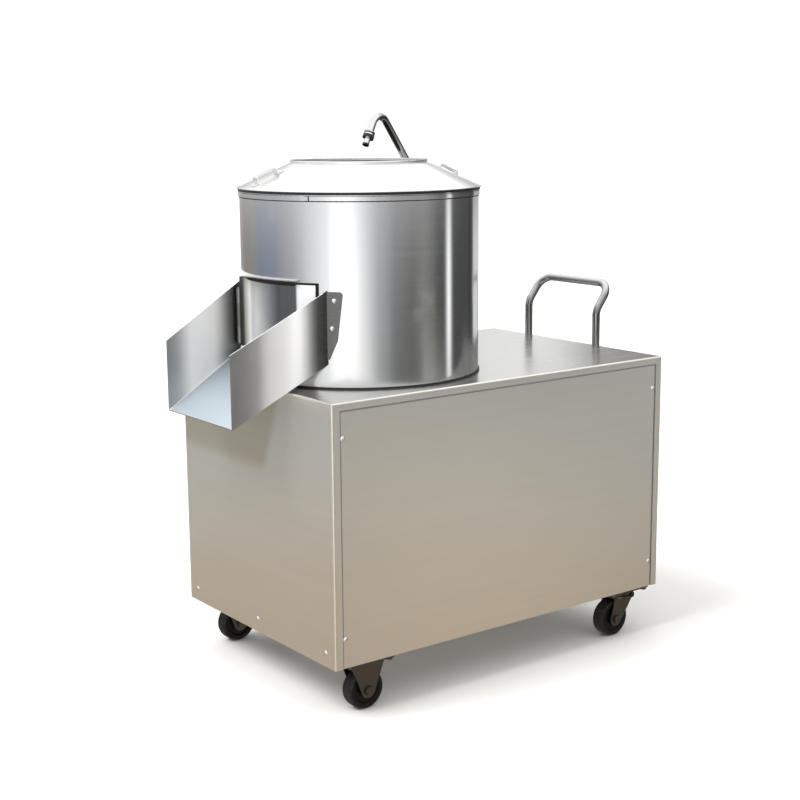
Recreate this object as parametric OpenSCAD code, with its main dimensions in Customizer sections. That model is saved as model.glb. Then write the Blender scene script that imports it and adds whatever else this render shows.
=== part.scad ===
// Floor-standing electric potato peeler: drum, abrasive disc and belt drive on a castored box

/* [Housing] */
// Length of the box
box_l = 700; // [660:5:860]
// Width of the box
box_w = 456; // [440:2:560]
// Height of the box above its castors
box_h = 417; // [414:1:520]
// Thickness of the stainless sheet
sheet_t = 1.5; // [1:0.25:2.5]
// Outer radius of the folded edges
fold_r = 3; // [2.75:0.25:6]
// Width of the upright flange beside each side panel
flange_w = 14; // [10:1:20]
// Height of the flange above each side panel
flange_h = 12; // [8:1:18]
// Gap round each side panel
panel_gap = 3; // [1:0.5:3]
// How far each side panel sits behind the flange
panel_recess = 1.5; // [0.5:0.25:1.5]
// Leg of the angle bars in the frame
angle_leg = 30; // [25:1:40]
// Thickness of the angle bars
angle_t = 3; // [2.5:0.5:5]

/* [Drum] */
// Distance from the chute-side face of the box to the drum axis
drum_inset = 215; // [205:1:240]
// Outer diameter of the drum
drum_d = 393; // [370:1:410]
// Height of the drum
drum_h = 303; // [270:1:360]
// Height of the rolled band on the rim
band_h = 8; // [6:1:14]
// How far the rim band stands proud
band_proud = 1.5; // [1:0.5:3]
// Thickness of the abrasive wall lining
liner_t = 4; // [3:0.5:6]
// Height of the door sill and of the disc face above the deck
sill_h = 45; // [44:1:60]
// Height of the doorway above its sill
door_open_h = 120; // [100:1:140]
// Half angle of the doorway seen from the drum axis
door_half_a = 36; // [32:1:36]

/* [Door] */
// Height of the door panel
door_h = 113; // [90:1:118]
// Thickness of the door panel
door_t = 2; // [1.5:0.5:3]
// How far the door sits inside the drum wall
door_recess = 5; // [4:0.5:7]
// Diameter of the hinge pin
hinge_pin_d = 5; // [4:0.5:6]
// Outer diameter of the hinge knuckles
knuckle_d = 10; // [9:0.5:12]
// Width of the latch-side door post, as an angle round the drum
post_a = 10; // [8:0.5:12]

/* [Chute] */
// How far the chute reaches past the box
chute_reach = 96; // [60:1:140]
// Width of the chute at its outer lip
chute_lip_w = 202; // [160:2:240]
// Half angle of the chute mouth seen from the drum axis
chute_half_a = 40; // [40:0.5:44]
// Height of the chute walls
chute_wall_h = 113; // [80:1:120]
// Height of the chute floor above the deck where its walls meet the drum
chute_root_h = 41; // [30:1:43]
// Fall of the chute floor from the drum to the lip
chute_fall = 88; // [50:1:110]
// Thickness of the chute sheet
chute_t = 1.5; // [1:0.5:2.5]
// Width of the fixing tabs at their top, as an angle round the drum
tab_a = 7; // [6:0.5:9]

/* [Splash cover] */
// Diameter of the feed opening
feed_d = 224; // [180:2:250]
// Height of the conical cover
cone_h = 40; // [30:1:80]
// Height of the rolled collar round the feed opening
collar_h = 3; // [3:0.5:12]
// Outer diameter of the water pipe
pipe_d = 12; // [10:0.5:14]
// Bore of the water pipe
pipe_bore = 9; // [6:0.5:9]
// Direction in which the pipe lies on the cover, seen from the drum axis
pipe_a = 17.5; // [0:0.5:40]
// Height of the top of the pipe bend above the deck
pipe_top_h = 416; // [405:1:440]

/* [Peeling disc] */
// Radial gap between the disc and the wall lining
disc_gap = 4.5; // [3:0.5:6]
// Thickness of the disc
disc_t = 10; // [8:1:14]
// Number of waves on the disc
wave_count = 3; // [2:1:4]
// Height of the waves at the rim
wave_h = 16; // [10:1:20]
// Radius of the wave crests
wave_r = 46; // [36:1:60]

/* [Drive] */
// Diameter of the spindle in its bearings
spindle_d = 25; // [24:1:30]
// Outer diameter of the spindle bearings
bearing_d = 52; // [50:1:54]
// Width of the spindle bearings
bearing_w = 15; // [14:1:17]
// Pitch diameter of the pulley on the spindle
drum_pulley_d = 250; // [200:5:255]
// Pitch diameter of the pulley on the motor
motor_pulley_d = 62.5; // [60:0.5:80]
// Distance between the spindle and the motor shaft
centre_dist = 300; // [280:1:320]
// Diameter of the motor shaft
motor_shaft_d = 24; // [19:1:28]
// Outer diameter of the motor frame over its fins
motor_d = 170; // [150:2:180]
// Length of the finned motor frame
motor_l = 120; // [100:1:122]

/* [Outlets] */
// Outer diameter of the waste water pipe
waste_d = 50; // [40:1:54]
// Length of the waste pipe below the box
waste_drop = 32; // [20:1:50]
// Bore of the cable gland
gland_bore = 9; // [6:0.5:12]

/* [Controls] */
// Diameter of the push buttons
button_d = 22; // [18:0.5:26]
// Travel of the push buttons
button_travel = 4; // [3:0.5:5]
// Distance between the push buttons
button_pitch = 44; // [40:1:60]

/* [Push handle] */
// Diameter of the handle tube
handle_d = 14; // [10:0.5:18]
// How far the handle reaches past the box
handle_reach = 32; // [20:1:80]
// Height of the handle bar above the deck
handle_h = 112; // [100:1:140]
// Width between the feet of the handle
handle_w = 184; // [140:2:240]
// Sideways offset of the handle from the middle of the box
handle_y = 20; // [0:1:30]

/* [Castors] */
// Overall height of a castor
castor_h = 85; // [80:1:110]
// Diameter of a wheel
wheel_d = 65; // [50:1:66]
// Width of a wheel
wheel_w = 24; // [18:1:25]
// Diameter of the wheel axles
axle_d = 8; // [6:0.5:10]
// Length of a castor plate
plate_l = 88; // [80:1:100]
// Width of a castor plate
plate_w = 60; // [58:1:62]
// Trail of the swivelling castors
castor_trail = 24; // [18:1:30]
// Distance from the long sides of the box to the castors
castor_inset_y = 32; // [31:1:50]
// Distance from the chute-side face to the fixed castors
fixed_inset_x = 72; // [60:1:100]
// Distance from the handle-side face to the swivel axes
swivel_inset_x = 60; // [60:1:100]

/* [Fits] */
// Radial running clearance of pins and shafts
run_fit = 0.05; // [0.02:0.01:0.1]
// Clearance between neighbouring parts that move
move_gap = 0.3; // [0.2:0.05:0.5]

/* [Hidden] */
$fn = 96;
cut = 1;                                    // overshoot of every cutting shape
seat_fit = 0.02;                            // radial gap of a seated part
hole_fit = 0.2;                             // radial gap round a fastener
weld = 0.02;                                // a bend is this much fuller than its straights
lap = 0.4;                                  // and they run this far into it
seam = 37;                                  // turns a straight so that no two seams meet

end_x = chute_reach - (box_l + handle_reach + chute_reach) / 2;
far_x = end_x + box_l;
mid_x = end_x + box_l / 2;
drum_x = end_x + drum_inset;
motor_x = drum_x + centre_dist;
box_z = castor_h;
deck_z = box_z + box_h;
side_y = box_w / 2;

panel_y = side_y - panel_recess;            // outer face of a side panel
frame_y = panel_y - sheet_t;                // outer face of the frame
frame_x0 = end_x + sheet_t;
frame_x1 = far_x - sheet_t;
base_t = 1.5;
frame_z0 = box_z + base_t;
frame_z1 = deck_z - sheet_t;
top_leg = 25;                               // leg of the upper angle ring
rail_w = 40;                                // flat bars under the motor pillars
rail_t = 5;

vent_count = 9;                             // slots in the base under the motor
vent_w = 6;
vent_l = 90;
vent_pitch = 16;

screw_head_r = 4.5;
screw_head_h = 2.4;
screw_r = 2.5;
screw_l = sheet_t + angle_t + 3;
slot_w = 1;                                 // cross recess in a screw head
panel_screw_in = 20;                        // panel screws from the end faces
panel_screw_low = 46;                       // above the bottom of the box
panel_screw_high = 56;                      // below the deck
end_screw_z = 22;
end_screw_y = side_y - 27;

drum_r = drum_d / 2;
drum_in = drum_r - sheet_t;
liner_r = drum_in - liner_t;
locate_h = 12;                              // locating ring of the cover, inside the drum mouth
liner_top = drum_h - locate_h - 1;
floor_t = 2;                                // drum floor
dam_t = 2;                                  // ring round the spindle neck
dam_h = 10;
notch_a = 207.5;                            // joint in the rim band
notch_w = 1.2;
bead_r = 0.75;
band_drop = 5;                              // bare wall left above the rim band
sill_drop = 4;                              // sill strip below the sill
sill_proud = 4;
doorway_a0 = 180 - door_half_a;             // hinge side of the doorway
doorway_a1 = 180 + door_half_a;             // latch side of the doorway
doorway_top = sill_h + door_open_h;
hood_t = 3;
sill_t = 1.5;
hood_proud = 7;
hood_a1 = doorway_a1 - 10.5;

door_r = drum_r - door_recess;              // outer face of the door panel
door_z = sill_h + move_gap;
door_a0 = doorway_a0 + 5.5;
door_gap_a = 1.8;                            // gap at the latch side, as an angle
post_a0 = doorway_a1 - door_gap_a - post_a; // start of the latch plate
post_a1 = doorway_a1 - door_gap_a;
post_top = 3;                               // latch plate above the door panel
hinge_r = drum_r + knuckle_d / 2 + 0.3;
hinge_a = doorway_a0 + 1.5;
hinge_x = hinge_r * cos(hinge_a);           // from the drum axis
hinge_y = hinge_r * sin(hinge_a);
knuckle_l = 25;                             // each fixed knuckle
knuckle_z = [sill_h + 3, sill_h + 68];
leaf_t = 3;
leaf_l = 30;                                // moving leaf before it is trimmed to the door
leaf_a = 3.2;                               // fixed hinge leaf, as an angle

latch_a = (post_a0 + post_a1) / 2;
latch_z = sill_h + 45;
latch_shaft_r = 4;
latch_cap_r = 11;
latch_cap_h = 4;
latch_grip = [10, 6, 24];
latch_arm = 26;
latch_arm_w = 12;
latch_arm_t = 2;
latch_swing = norm([latch_arm, latch_arm_w / 2]);
latch_in = min((drum_r - door_t - move_gap) * cos(post_a / 2),
    sqrt(pow(drum_in - move_gap, 2) - pow(latch_swing, 2)));   // the arm turns clear of the walls
latch_room_a = 6.5;                         // lining cut back for the latch arm

feed_r = feed_d / 2;
cover_edge_r = drum_r + 4;
cover_z = drum_h + move_gap;                // underside of the cover rim
cover_top = cover_z + cone_h;
locate_r = drum_in - 2;                     // locating ring inside the drum mouth
collar_roll = 1.2;                          // radius of the bead on the collar
cone_a = atan((cover_top - cover_z - sheet_t) / (cover_edge_r - 2 - feed_r));

pipe_rise = 48;                             // the spout climbs past the collar at this angle
pipe_fall = 59.5;                           // and drops towards the disc at this one
pipe_bend = 22;
pipe_back_r = 228;                          // where the pipe turns down beside the drum
pipe_low = 250;                             // level of the pipe's supply end above the deck
pipe_out = 30;
pipe_over = 7;                              // pipe clear of the collar where it climbs past
pipe_lift = pipe_d / 2 + 1.5;               // pipe axis above the cone
spout_l = 71;                               // from the corner of the top bend to the tip
nozzle_l = 13;
nozzle_r = 8.7;
nozzle_groove = 0.6;
tip_l = 13;
tip_r = 5;
clip_r = pipe_d / 2 + 2.5;
clip_w = 8;
clip_at = [18, 58];                         // along the pipe from the foot of the spout
tail_l = 22;
tail_r = 5;                                 // for a 10 mm hose
tail_hex = 17;
tail_hex_h = 9;

strap_l = 58;                               // carrying straps on the cover
strap_w = 18;
strap_h = 12;
strap_t = 2;
strap_foot = 12;
strap_corner = 4;
strap_low = 8;                              // straps sit this far below the middle of the cone
strap_a = [172, 352];

motor_plate_t = 8;
motor_flange_r = 100;
motor_flange_t = 12;
spigot_r = 65;
spigot_h = 3.5;
shield_r = 77.5;
shield_h = 18;
shield_edge = 6;
end_shield_h = 12;
end_shield_edge = 4;
end_shield_r = shield_r - 12;
motor_r = motor_d / 2;
fin_h = 10;
fin_t = 2.5;
fin_count = 28;
fan_gap = 3;
fan_h = 16;
fan_r = 70;
fan_blades = 7;
fan_disc_t = 2;
fan_hub_r = motor_shaft_d / 2 + 8;
blade_t = 2;
cowl_t = 1.5;
cowl_low = 22 - box_h;                      // the motor stands this far above the box bottom
fan_low = cowl_low + 6;
end_shield_low = fan_low + fan_h + fan_gap;
frame_low = end_shield_low + end_shield_h;
frame_high = frame_low + motor_l;
cowl_high = frame_low - 2;
motor_plate_top = frame_high + shield_h + motor_flange_t + motor_plate_t;
cowl_slots = 16;
cowl_slot = [40, 5];
cowl_slot_r = 22;
pillar_r = 11;
pillar_x = 95;
pillar_y = 125;
flange_bolt_r = 82.5;
plate_edge = 25;                            // motor plate beyond its pillars
motor_slot_l = 30;
tapped_l = 22;

groove_pitch = 15;
belt_low_z = motor_plate_top + 30;
belt_z = [belt_low_z, belt_low_z + groove_pitch];   // belt planes below the deck
belt_top_w = 12.6;
belt_low_w = 7.4;
belt_out = 3;                               // belt above its pitch line
belt_in = 5;                                // belt below its pitch line
groove_spare = 2;
rim_edge = 10;
rim_depth = 16;
pulley_hub_r = 28;
web_t = 10;
web_hole_r = 20;
web_holes = 5;
pulley_low = belt_z[0] - rim_edge;
pulley_high = belt_z[1] + rim_edge;
journal_r = 11;                             // spindle end inside its pulley
big_r = drum_pulley_d / 2;
small_r = motor_pulley_d / 2;
belt_a = acos((big_r - small_r) / centre_dist);
belt_run = sqrt(pow(centre_dist, 2) - pow(big_r - small_r, 2));

bridge_t = 10;                              // plate that carries the spindle housing
bridge_w = 176;
bridge_top = -sheet_t - angle_t;            // below the deck
neck_r = bearing_d / 2 + 6;
neck_top = 24;                              // top of the housing neck above the deck
housing_r = bearing_d / 2 + 8;
housing_low = pulley_high + 13;
housing_flange_r = 75;
housing_flange_t = 10;
housing_bolt_r = 58;
housing_bore_r = spindle_d / 2 + 6;
rib_t = 8;
rib_low = housing_low + 20;
rib_out = housing_flange_r - housing_r - 4;
bearing_land = 3;                           // width of a bearing ring's face
bearing_shield = 0.8;                       // depth of the shield between the rings
seal_h = 6;
spindle_step = neck_top + 4;                // shoulder under the disc hub
seat_r = 10;
stud_r = 8;
hub_r = 30;
skirt_gap = 4;
skirt_t = 4;
skirt_low = 14;
disc_r = liner_r - disc_gap;
shaft_end = 2;                              // spindle below its pulley
shaft_chamfer = 1;
hub_clear_r = 34;
wave_low = 3;                               // height of a wave at the hub
washer_r = 17;
washer_t = 3;
nut_af = 24;
nut_h = 10;
dome_r = 11;
thread_low = sill_h - 1;
thread_top = sill_h + washer_t + nut_h;

bolt_r = 5;
bolt_af = 17;
bolt_head_h = 6.5;
box_pad = 62;
terminal_l = 92;
terminal_d = 34;
terminal_h = 66;

waste_a = 139;                              // waste outlet, seen from the drum axis
waste_from_axis = 158;
waste_x = drum_x + waste_from_axis * cos(waste_a);
waste_y = waste_from_axis * sin(waste_a);
waste_r = waste_d / 2;
waste_wall = 2;
waste_step = 0.5;                           // the hose end is turned down by this
waste_end_l = waste_drop - 6;

switch_y = 128 - side_y;
switch_z = deck_z - 100;
switch_w = 62;
switch_h = 112;
switch_t = 2;
button_r = button_d / 2;
button_out = 7;
button_in = 6;
switch_rim = [8, 10];                       // plate beyond the cut-out behind it
switch_corner = 6;
button_edge = 2;
block_w = 34;
block_d = 36;
gland_y = 78 - side_y;
gland_z = box_z + 90;
gland_thread_r = 10;
gland_thread_l = 14;
gland_hex = 24;
gland_hex_h = 6;
gland_cap_h = 8;
gland_cone_h = 4;
gland_nut_h = 5;

handle_r = handle_d / 2;
handle_foot_in = 10;                        // feet from the end face
handle_knee = 66;
handle_corner = 28;

axle_z = wheel_d / 2;
axle_r = axle_d / 2;
castor_plate_t = 3;
plate_z = castor_h - castor_plate_t;
fork_t = 2.5;
fork_gap = 2;                               // between a wheel and its fork legs
fork_y = wheel_w / 2 + fork_gap;            // inner face of a fork leg
boss_r = 13;
fork_lead = castor_trail - 4;               // middle of the swivel leg ahead of the axle
axle_nut_af = 13;
axle_nut_h = 4;
hub_out = 1;                                // wheel hub beyond the tyre
wheel_hub_r = 10;
web_in = 3;                                 // wheel web set back from the tyre
tyre_h = 9;
tyre_slope = 2;
shoulder_r = 3;
shoulder_w = 5;
tread_edge = [0.8, 2];
fixed_leg_w = 66;
swivel_leg_w = 44;
race_h = 9;
race_r = 22;
crown_r = 26;
crown_t = 4;
crown_z = plate_z - race_h - move_gap;      // top of the swivel fork
kingpin_r = 6;
castor_bolt_x = plate_l / 2 - 8;
castor_bolt_y = plate_w / 2 - 7.5;
castor_bolt_r = 3;
castor_bolt_af = 10;
castor_bolt_head = 4;
fixed_x = end_x + fixed_inset_x;
swivel_x = far_x - swivel_inset_x;
castor_y = side_y - castor_inset_y;

// ---- shared shapes ----

module ring(r_out, r_in, h) {
    difference() {
        cylinder(r = r_out, h = h);
        translate([0, 0, -cut]) cylinder(r = r_in, h = h + 2 * cut);
    }
}

module arc_ring(r_out, r_in, h, a0, a1) {
    rotate([0, 0, a0]) rotate_extrude(angle = a1 - a0)
        translate([r_in, 0]) square([r_out - r_in, h]);
}

module at_drum(h = 0) {
    translate([drum_x, 0, deck_z + h]) children();
}

module at_motor(h = 0) {
    translate([motor_x, 0, deck_z + h]) children();
}

// an XZ outline given its width along Y, centred on the XZ plane
module across(width) {
    rotate([90, 0, 0]) linear_extrude(width, center = true) children();
}

module rounded_rect(l, w, r) {
    square([l - 2 * r, w], center = true);
    square([l, w - 2 * r], center = true);
    for (sx = [-1, 1], sy = [-1, 1])
        translate([sx * (l / 2 - r), sy * (w / 2 - r)]) circle(r);
}

module folded_outline(w, h, r) {
    translate([-w / 2, 0]) square([w, h - r]);
    translate([r - w / 2, 0]) square([w - 2 * r, h]);
    for (s = [-1, 1]) translate([s * (w / 2 - r), h - r]) circle(r);
}

module hex_prism(across_flats, h) {
    cylinder(r = across_flats / 2 / cos(30), h = h, $fn = 6);
}

// domed head above z = 0, shank below
module pan_screw(head_r, head_h, shank_r, shank_l) {
    dome = (head_r * head_r + head_h * head_h) / (2 * head_h);
    difference() {
        intersection() {
            cylinder(r = head_r, h = head_h);
            translate([0, 0, head_h - dome]) sphere(dome);
        }
        for (a = [0, 90]) rotate([0, 0, a])
            translate([-head_r / 2, -slot_w / 2, head_h / 2]) cube([head_r, slot_w, head_h]);
    }
    translate([0, 0, -shank_l]) cylinder(r = shank_r, h = shank_l);
}

module hex_bolt(across_flats, head_h, shank_r, shank_l) {
    hex_prism(across_flats, head_h);
    translate([0, 0, -shank_l]) cylinder(r = shank_r, h = shank_l);
}

function unit(v) = v / norm(v);
function turn(a, b) = acos(unit(a) * unit(b));
function polar(r, a, h) = [r * cos(a), r * sin(a), h];

module along(from, dir) {
    d = unit(dir);
    translate(from) rotate([0, acos(d[2]), atan2(d[1], d[0])]) children();
}

// round bar of radius r through the points, with every corner bent to the radius bend
module tube_run(points, r, bend) {
    last = len(points) - 1;
    legs = [for (i = [1:last]) points[i] - points[i - 1]];
    trim = [for (i = [0:last])
        i == 0 || i == last ? 0 : bend * tan(turn(legs[i - 1], legs[i]) / 2)];
    for (i = [0:last - 1]) {
        start = i == 0 ? 0 : trim[i] - lap;
        stop = norm(legs[i]) - (i == last - 1 ? 0 : trim[i + 1] - lap);
        along(points[i] + unit(legs[i]) * start, legs[i])
            rotate([0, 0, seam]) cylinder(r = r, h = stop - start);
    }
    for (i = [1:last - 1]) {
        d = unit(legs[i - 1]);
        e = unit(legs[i]);
        m = unit(e - (d * e) * d);
        n = cross(d, m);
        c = points[i] - d * trim[i] + m * bend;
        multmatrix([
            [-m[0], d[0], n[0], c[0]],
            [-m[1], d[1], n[1], c[1]],
            [-m[2], d[2], n[2], c[2]],
            [0, 0, 0, 1]])
            rotate_extrude(angle = turn(d, e)) translate([bend, 0]) circle(r + weld);
    }
}

// ---- housing ----

module folded_box(l, w, h, r) {
    intersection() {
        linear_extrude(h) rounded_rect(l, w, r);
        across(w) folded_outline(l, h, r);
        rotate([0, 0, 90]) across(l) folded_outline(w, h, r);
    }
}

module each_end_screw(r, l) {
    for (s = [-1, 0, 1]) {
        translate([end_x, s * end_screw_y, box_z + end_screw_z]) rotate([0, -90, 0]) children();
        translate([far_x, s * end_screw_y, box_z + end_screw_z]) rotate([0, 90, 0]) children();
    }
}

module each_panel_screw() {
    for (sy = [-1, 1], x = [end_x + panel_screw_in, far_x - panel_screw_in],
         z = [box_z + panel_screw_low, deck_z - panel_screw_high])
        translate([x, sy * panel_y, z]) rotate([-sy * 90, 0, 0]) children();
}

module screw_hole() {
    translate([0, 0, -4 * angle_t]) cylinder(r = screw_r + hole_fit, h = 5 * angle_t);
}

module cover_wrap() {
    color("gainsboro") difference() {
        translate([mid_x, 0, box_z]) folded_box(box_l, box_w, box_h, fold_r);
        translate([frame_x0, sheet_t - side_y, box_z - cut])
            cube([box_l - 2 * sheet_t, box_w - 2 * sheet_t, box_h - sheet_t + cut]);
        translate([end_x + flange_w, -side_y - cut, box_z - cut])
            cube([box_l - 2 * flange_w, box_w + 2 * cut, box_h - flange_h + cut]);
        at_drum(-2 * sheet_t) cylinder(r = neck_r + move_gap, h = 4 * sheet_t);
        translate([waste_x, waste_y, deck_z - 2 * sheet_t])
            cylinder(r = waste_r + move_gap, h = 4 * sheet_t);
        translate([far_x, switch_y, switch_z])
            cube([4 * sheet_t, switch_w - 2 * switch_rim[0], switch_h - 2 * switch_rim[1]],
                 center = true);
        translate([far_x - 2 * sheet_t, gland_y, gland_z]) rotate([0, 90, 0])
            cylinder(r = gland_thread_r + hole_fit, h = 4 * sheet_t);
        each_end_screw() screw_hole();
    }
}

module side_panels() {
    panel_l = box_l - 2 * flange_w - 2 * panel_gap;
    panel_h = box_h - flange_h - panel_gap;
    color("silver") difference() {
        for (s = [-1, 1])
            translate([mid_x - panel_l / 2, s * (panel_y - sheet_t / 2) - sheet_t / 2, box_z])
                cube([panel_l, sheet_t, panel_h]);
        each_panel_screw() screw_hole();
    }
}

module base_plate() {
    color("gray") difference() {
        translate([frame_x0, -frame_y, box_z])
            cube([frame_x1 - frame_x0, 2 * frame_y, base_t]);
        translate([waste_x, waste_y, box_z - cut])
            cylinder(r = waste_r + move_gap, h = base_t + 2 * cut);
        for (i = [0:vent_count - 1])
            translate([motor_x + (i - (vent_count - 1) / 2) * vent_pitch, 0, box_z])
                cube([vent_w, vent_l, 4 * base_t], center = true);
        each_castor_bolt() translate([0, 0, -cut])
            cylinder(r = castor_bolt_r + hole_fit, h = castor_plate_t + base_t + angle_t + 3 * cut);
    }
}

// rectangular ring of angle bar, its ledge at the bottom or at the top
module angle_ring(leg, ledge_on_top) {
    l = frame_x1 - frame_x0;
    w = 2 * frame_y;
    difference() {
        translate([frame_x0, -frame_y, 0]) cube([l, w, leg]);
        translate([frame_x0 + angle_t, angle_t - frame_y, ledge_on_top ? -cut : angle_t])
            cube([l - 2 * angle_t, w - 2 * angle_t, leg - angle_t + cut]);
        translate([frame_x0 + leg, leg - frame_y, -cut])
            cube([l - 2 * leg, w - 2 * leg, leg + 2 * cut]);
    }
}

module base_frame() {
    color("dimgray") difference() {
        union() {
            translate([0, 0, frame_z0]) angle_ring(angle_leg, false);
            for (s = [-1, 1])
                translate([motor_x + s * pillar_x - rail_w / 2, angle_t - frame_y, frame_z0 + angle_t])
                    cube([rail_w, 2 * (frame_y - angle_t), rail_t]);
            for (x = [fixed_x, swivel_x], s = [0, 1]) mirror([0, s, 0])
                translate([x - plate_l / 2, castor_y - plate_w / 2, frame_z0])
                    cube([plate_l, frame_y - castor_y + plate_w / 2, angle_t]);
        }
        each_end_screw() screw_hole();
        each_castor_bolt() translate([0, 0, -cut])
            cylinder(r = castor_bolt_r + hole_fit, h = castor_plate_t + base_t + angle_t + 3 * cut);
    }
}

module corner_posts() {
    low = frame_z0 + angle_leg;
    high = frame_z1 - top_leg;
    color("dimgray") difference() {
        for (sx = [0, 1], sy = [0, 1])
            translate([mid_x, 0, low]) mirror([sx, 0, 0]) mirror([0, sy, 0])
                translate([frame_x0 - mid_x, -frame_y, 0]) difference() {
                    cube([angle_leg, angle_leg, high - low]);
                    translate([angle_t, angle_t, -cut])
                        cube([angle_leg, angle_leg, high - low + 2 * cut]);
                }
        each_panel_screw() screw_hole();
    }
}

module top_frame() {
    color("dimgray") translate([0, 0, frame_z1 - top_leg]) angle_ring(top_leg, true);
}

module panel_screws() {
    color("whitesmoke") each_panel_screw()
        pan_screw(screw_head_r, screw_head_h, screw_r, screw_l);
}

module end_screws() {
    color("whitesmoke") each_end_screw()
        pan_screw(screw_head_r, screw_head_h, screw_r, screw_l);
}

// ---- spindle and its bearings ----

module each_housing_bolt() {
    for (i = [0:3]) rotate([0, 0, 45 + 90 * i]) translate([housing_bolt_r, 0, 0]) children();
}

module bearing_bridge() {
    color("slategray") at_drum(bridge_top - bridge_t) difference() {
        translate([-bridge_w / 2, angle_t - frame_y, 0])
            cube([bridge_w, 2 * (frame_y - angle_t), bridge_t]);
        translate([0, 0, -cut]) cylinder(r = neck_r + move_gap, h = bridge_t + 2 * cut);
        each_housing_bolt() translate([0, 0, -cut])
            cylinder(r = bolt_r + hole_fit, h = bridge_t + 2 * cut);
    }
}

module bearing_housing() {
    flange_top = bridge_top - bridge_t;
    low_seat = housing_low + bearing_w;
    high_seat = neck_top - seal_h - bearing_w;
    bearing_r = bearing_d / 2 + seat_fit;
    color("darkslategray") at_drum() difference() {
        union() {
            rotate_extrude() polygon([
                [housing_bore_r, low_seat], [bearing_r, low_seat], [bearing_r, housing_low],
                [housing_r, housing_low], [housing_r, flange_top - housing_flange_t],
                [housing_flange_r, flange_top - housing_flange_t], [housing_flange_r, flange_top],
                [neck_r, flange_top], [neck_r, neck_top], [bearing_r, neck_top],
                [bearing_r, high_seat], [housing_bore_r, high_seat]]);
            for (i = [0:3]) rotate([0, 0, 90 * i]) translate([housing_r - cut, 0, 0]) across(rib_t)
                polygon([[0, flange_top - housing_flange_t], [0, rib_low],
                         [rib_out, flange_top - housing_flange_t]]);
        }
        each_housing_bolt() translate([0, 0, flange_top - housing_flange_t - cut])
            cylinder(r = bolt_r + hole_fit, h = housing_flange_t + 2 * cut);
    }
}

module bearing(r_in) {
    gap = bearing_d / 2 - r_in - 2 * bearing_land;
    rotate_extrude() difference() {
        translate([r_in, 0]) square([bearing_d / 2 - r_in, bearing_w]);
        for (z = [0, bearing_w]) translate([r_in + bearing_land, z - bearing_shield])
            square([gap, 2 * bearing_shield]);
    }
}

module spindle_bearings() {
    color("lightsteelblue") {
        at_drum(housing_low) bearing(spindle_d / 2 + run_fit);
        at_drum(neck_top - seal_h - bearing_w) bearing(spindle_d / 2 + run_fit);
    }
}

module shaft_seal() {
    color("black") at_drum(neck_top - seal_h)
        ring(bearing_d / 2, spindle_d / 2 + run_fit, seal_h);
}

module spindle() {
    low = pulley_low - shaft_end;
    color("silver") at_drum() rotate_extrude() polygon([
        [0, low], [journal_r - shaft_chamfer, low], [journal_r, low + shaft_chamfer],
        [journal_r, pulley_high], [spindle_d / 2, pulley_high], [spindle_d / 2, spindle_step],
        [seat_r, spindle_step], [seat_r, thread_low], [stud_r, thread_low],
        [stud_r, thread_top], [0, thread_top]]);
}

module groove_cut(r, z) {
    slope = (belt_top_w - belt_low_w) / 2 / (belt_out + belt_in);
    top = belt_top_w / 2 + move_gap;
    low = belt_low_w / 2 + move_gap;
    over = belt_out + cut;
    under = belt_in + groove_spare;
    polygon([
        [r + over, z - top - slope * cut], [r + over, z + top + slope * cut],
        [r - under, z + low - slope * groove_spare], [r - under, z - low + slope * groove_spare]]);
}

module drum_pulley() {
    web_z = (pulley_low + pulley_high) / 2;
    color("dimgray") at_drum() difference() {
        rotate_extrude() difference() {
            union() {
                translate([journal_r + seat_fit, pulley_low])
                    square([pulley_hub_r - journal_r - seat_fit, pulley_high - pulley_low]);
                translate([journal_r + seat_fit, web_z - web_t / 2])
                    square([big_r - journal_r - seat_fit - rim_depth / 2, web_t]);
                translate([big_r - rim_depth, pulley_low])
                    square([rim_depth + belt_out, pulley_high - pulley_low]);
            }
            for (z = belt_z) groove_cut(big_r, z);
        }
        for (i = [0:web_holes - 1]) rotate([0, 0, i * 360 / web_holes])
            translate([(pulley_hub_r + big_r - rim_depth) / 2, 0, web_z - web_t])
                cylinder(r = web_hole_r, h = 2 * web_t);
    }
}

module motor_pulley() {
    bore = motor_shaft_d / 2 + seat_fit;
    color("dimgray") at_motor() rotate_extrude() difference() {
        translate([bore, pulley_low]) square([small_r + belt_out - bore, pulley_high - pulley_low]);
        for (z = belt_z) groove_cut(small_r, z);
    }
}

module belt_section(r, extra = 0) {
    top = belt_top_w / 2 + extra;
    low = belt_low_w / 2 + extra;
    out = r + belt_out + extra;
    in = r - belt_in - extra;
    polygon([[out, -top], [out, top], [in, low], [in, -low]]);
}

module belt_span(x, r, side) {
    n = [cos(belt_a), side * sin(belt_a)];
    d = [side * n[1], -side * n[0]];
    multmatrix([[n[0], 0, d[0], x], [n[1], 0, d[1], 0], [0, side, 0, 0], [0, 0, 0, 1]])
        translate([0, 0, -lap]) linear_extrude(belt_run + 2 * lap) belt_section(r);
}

module drive_belts() {
    color("black") for (z = belt_z) at_drum(z) {
        rotate([0, 0, belt_a])
            rotate_extrude(angle = 360 - 2 * belt_a) belt_section(big_r, weld);
        translate([centre_dist, 0, 0]) rotate([0, 0, -belt_a])
            rotate_extrude(angle = 2 * belt_a) belt_section(small_r, weld);
        belt_span(0, big_r, 1);
        belt_span(0, big_r, -1);
    }
}

// ---- motor ----

module motor_shaft() {
    color("silver") at_motor(fan_low)
        cylinder(r = motor_shaft_d / 2,
                 h = pulley_high + 4 - fan_low);
}

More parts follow.
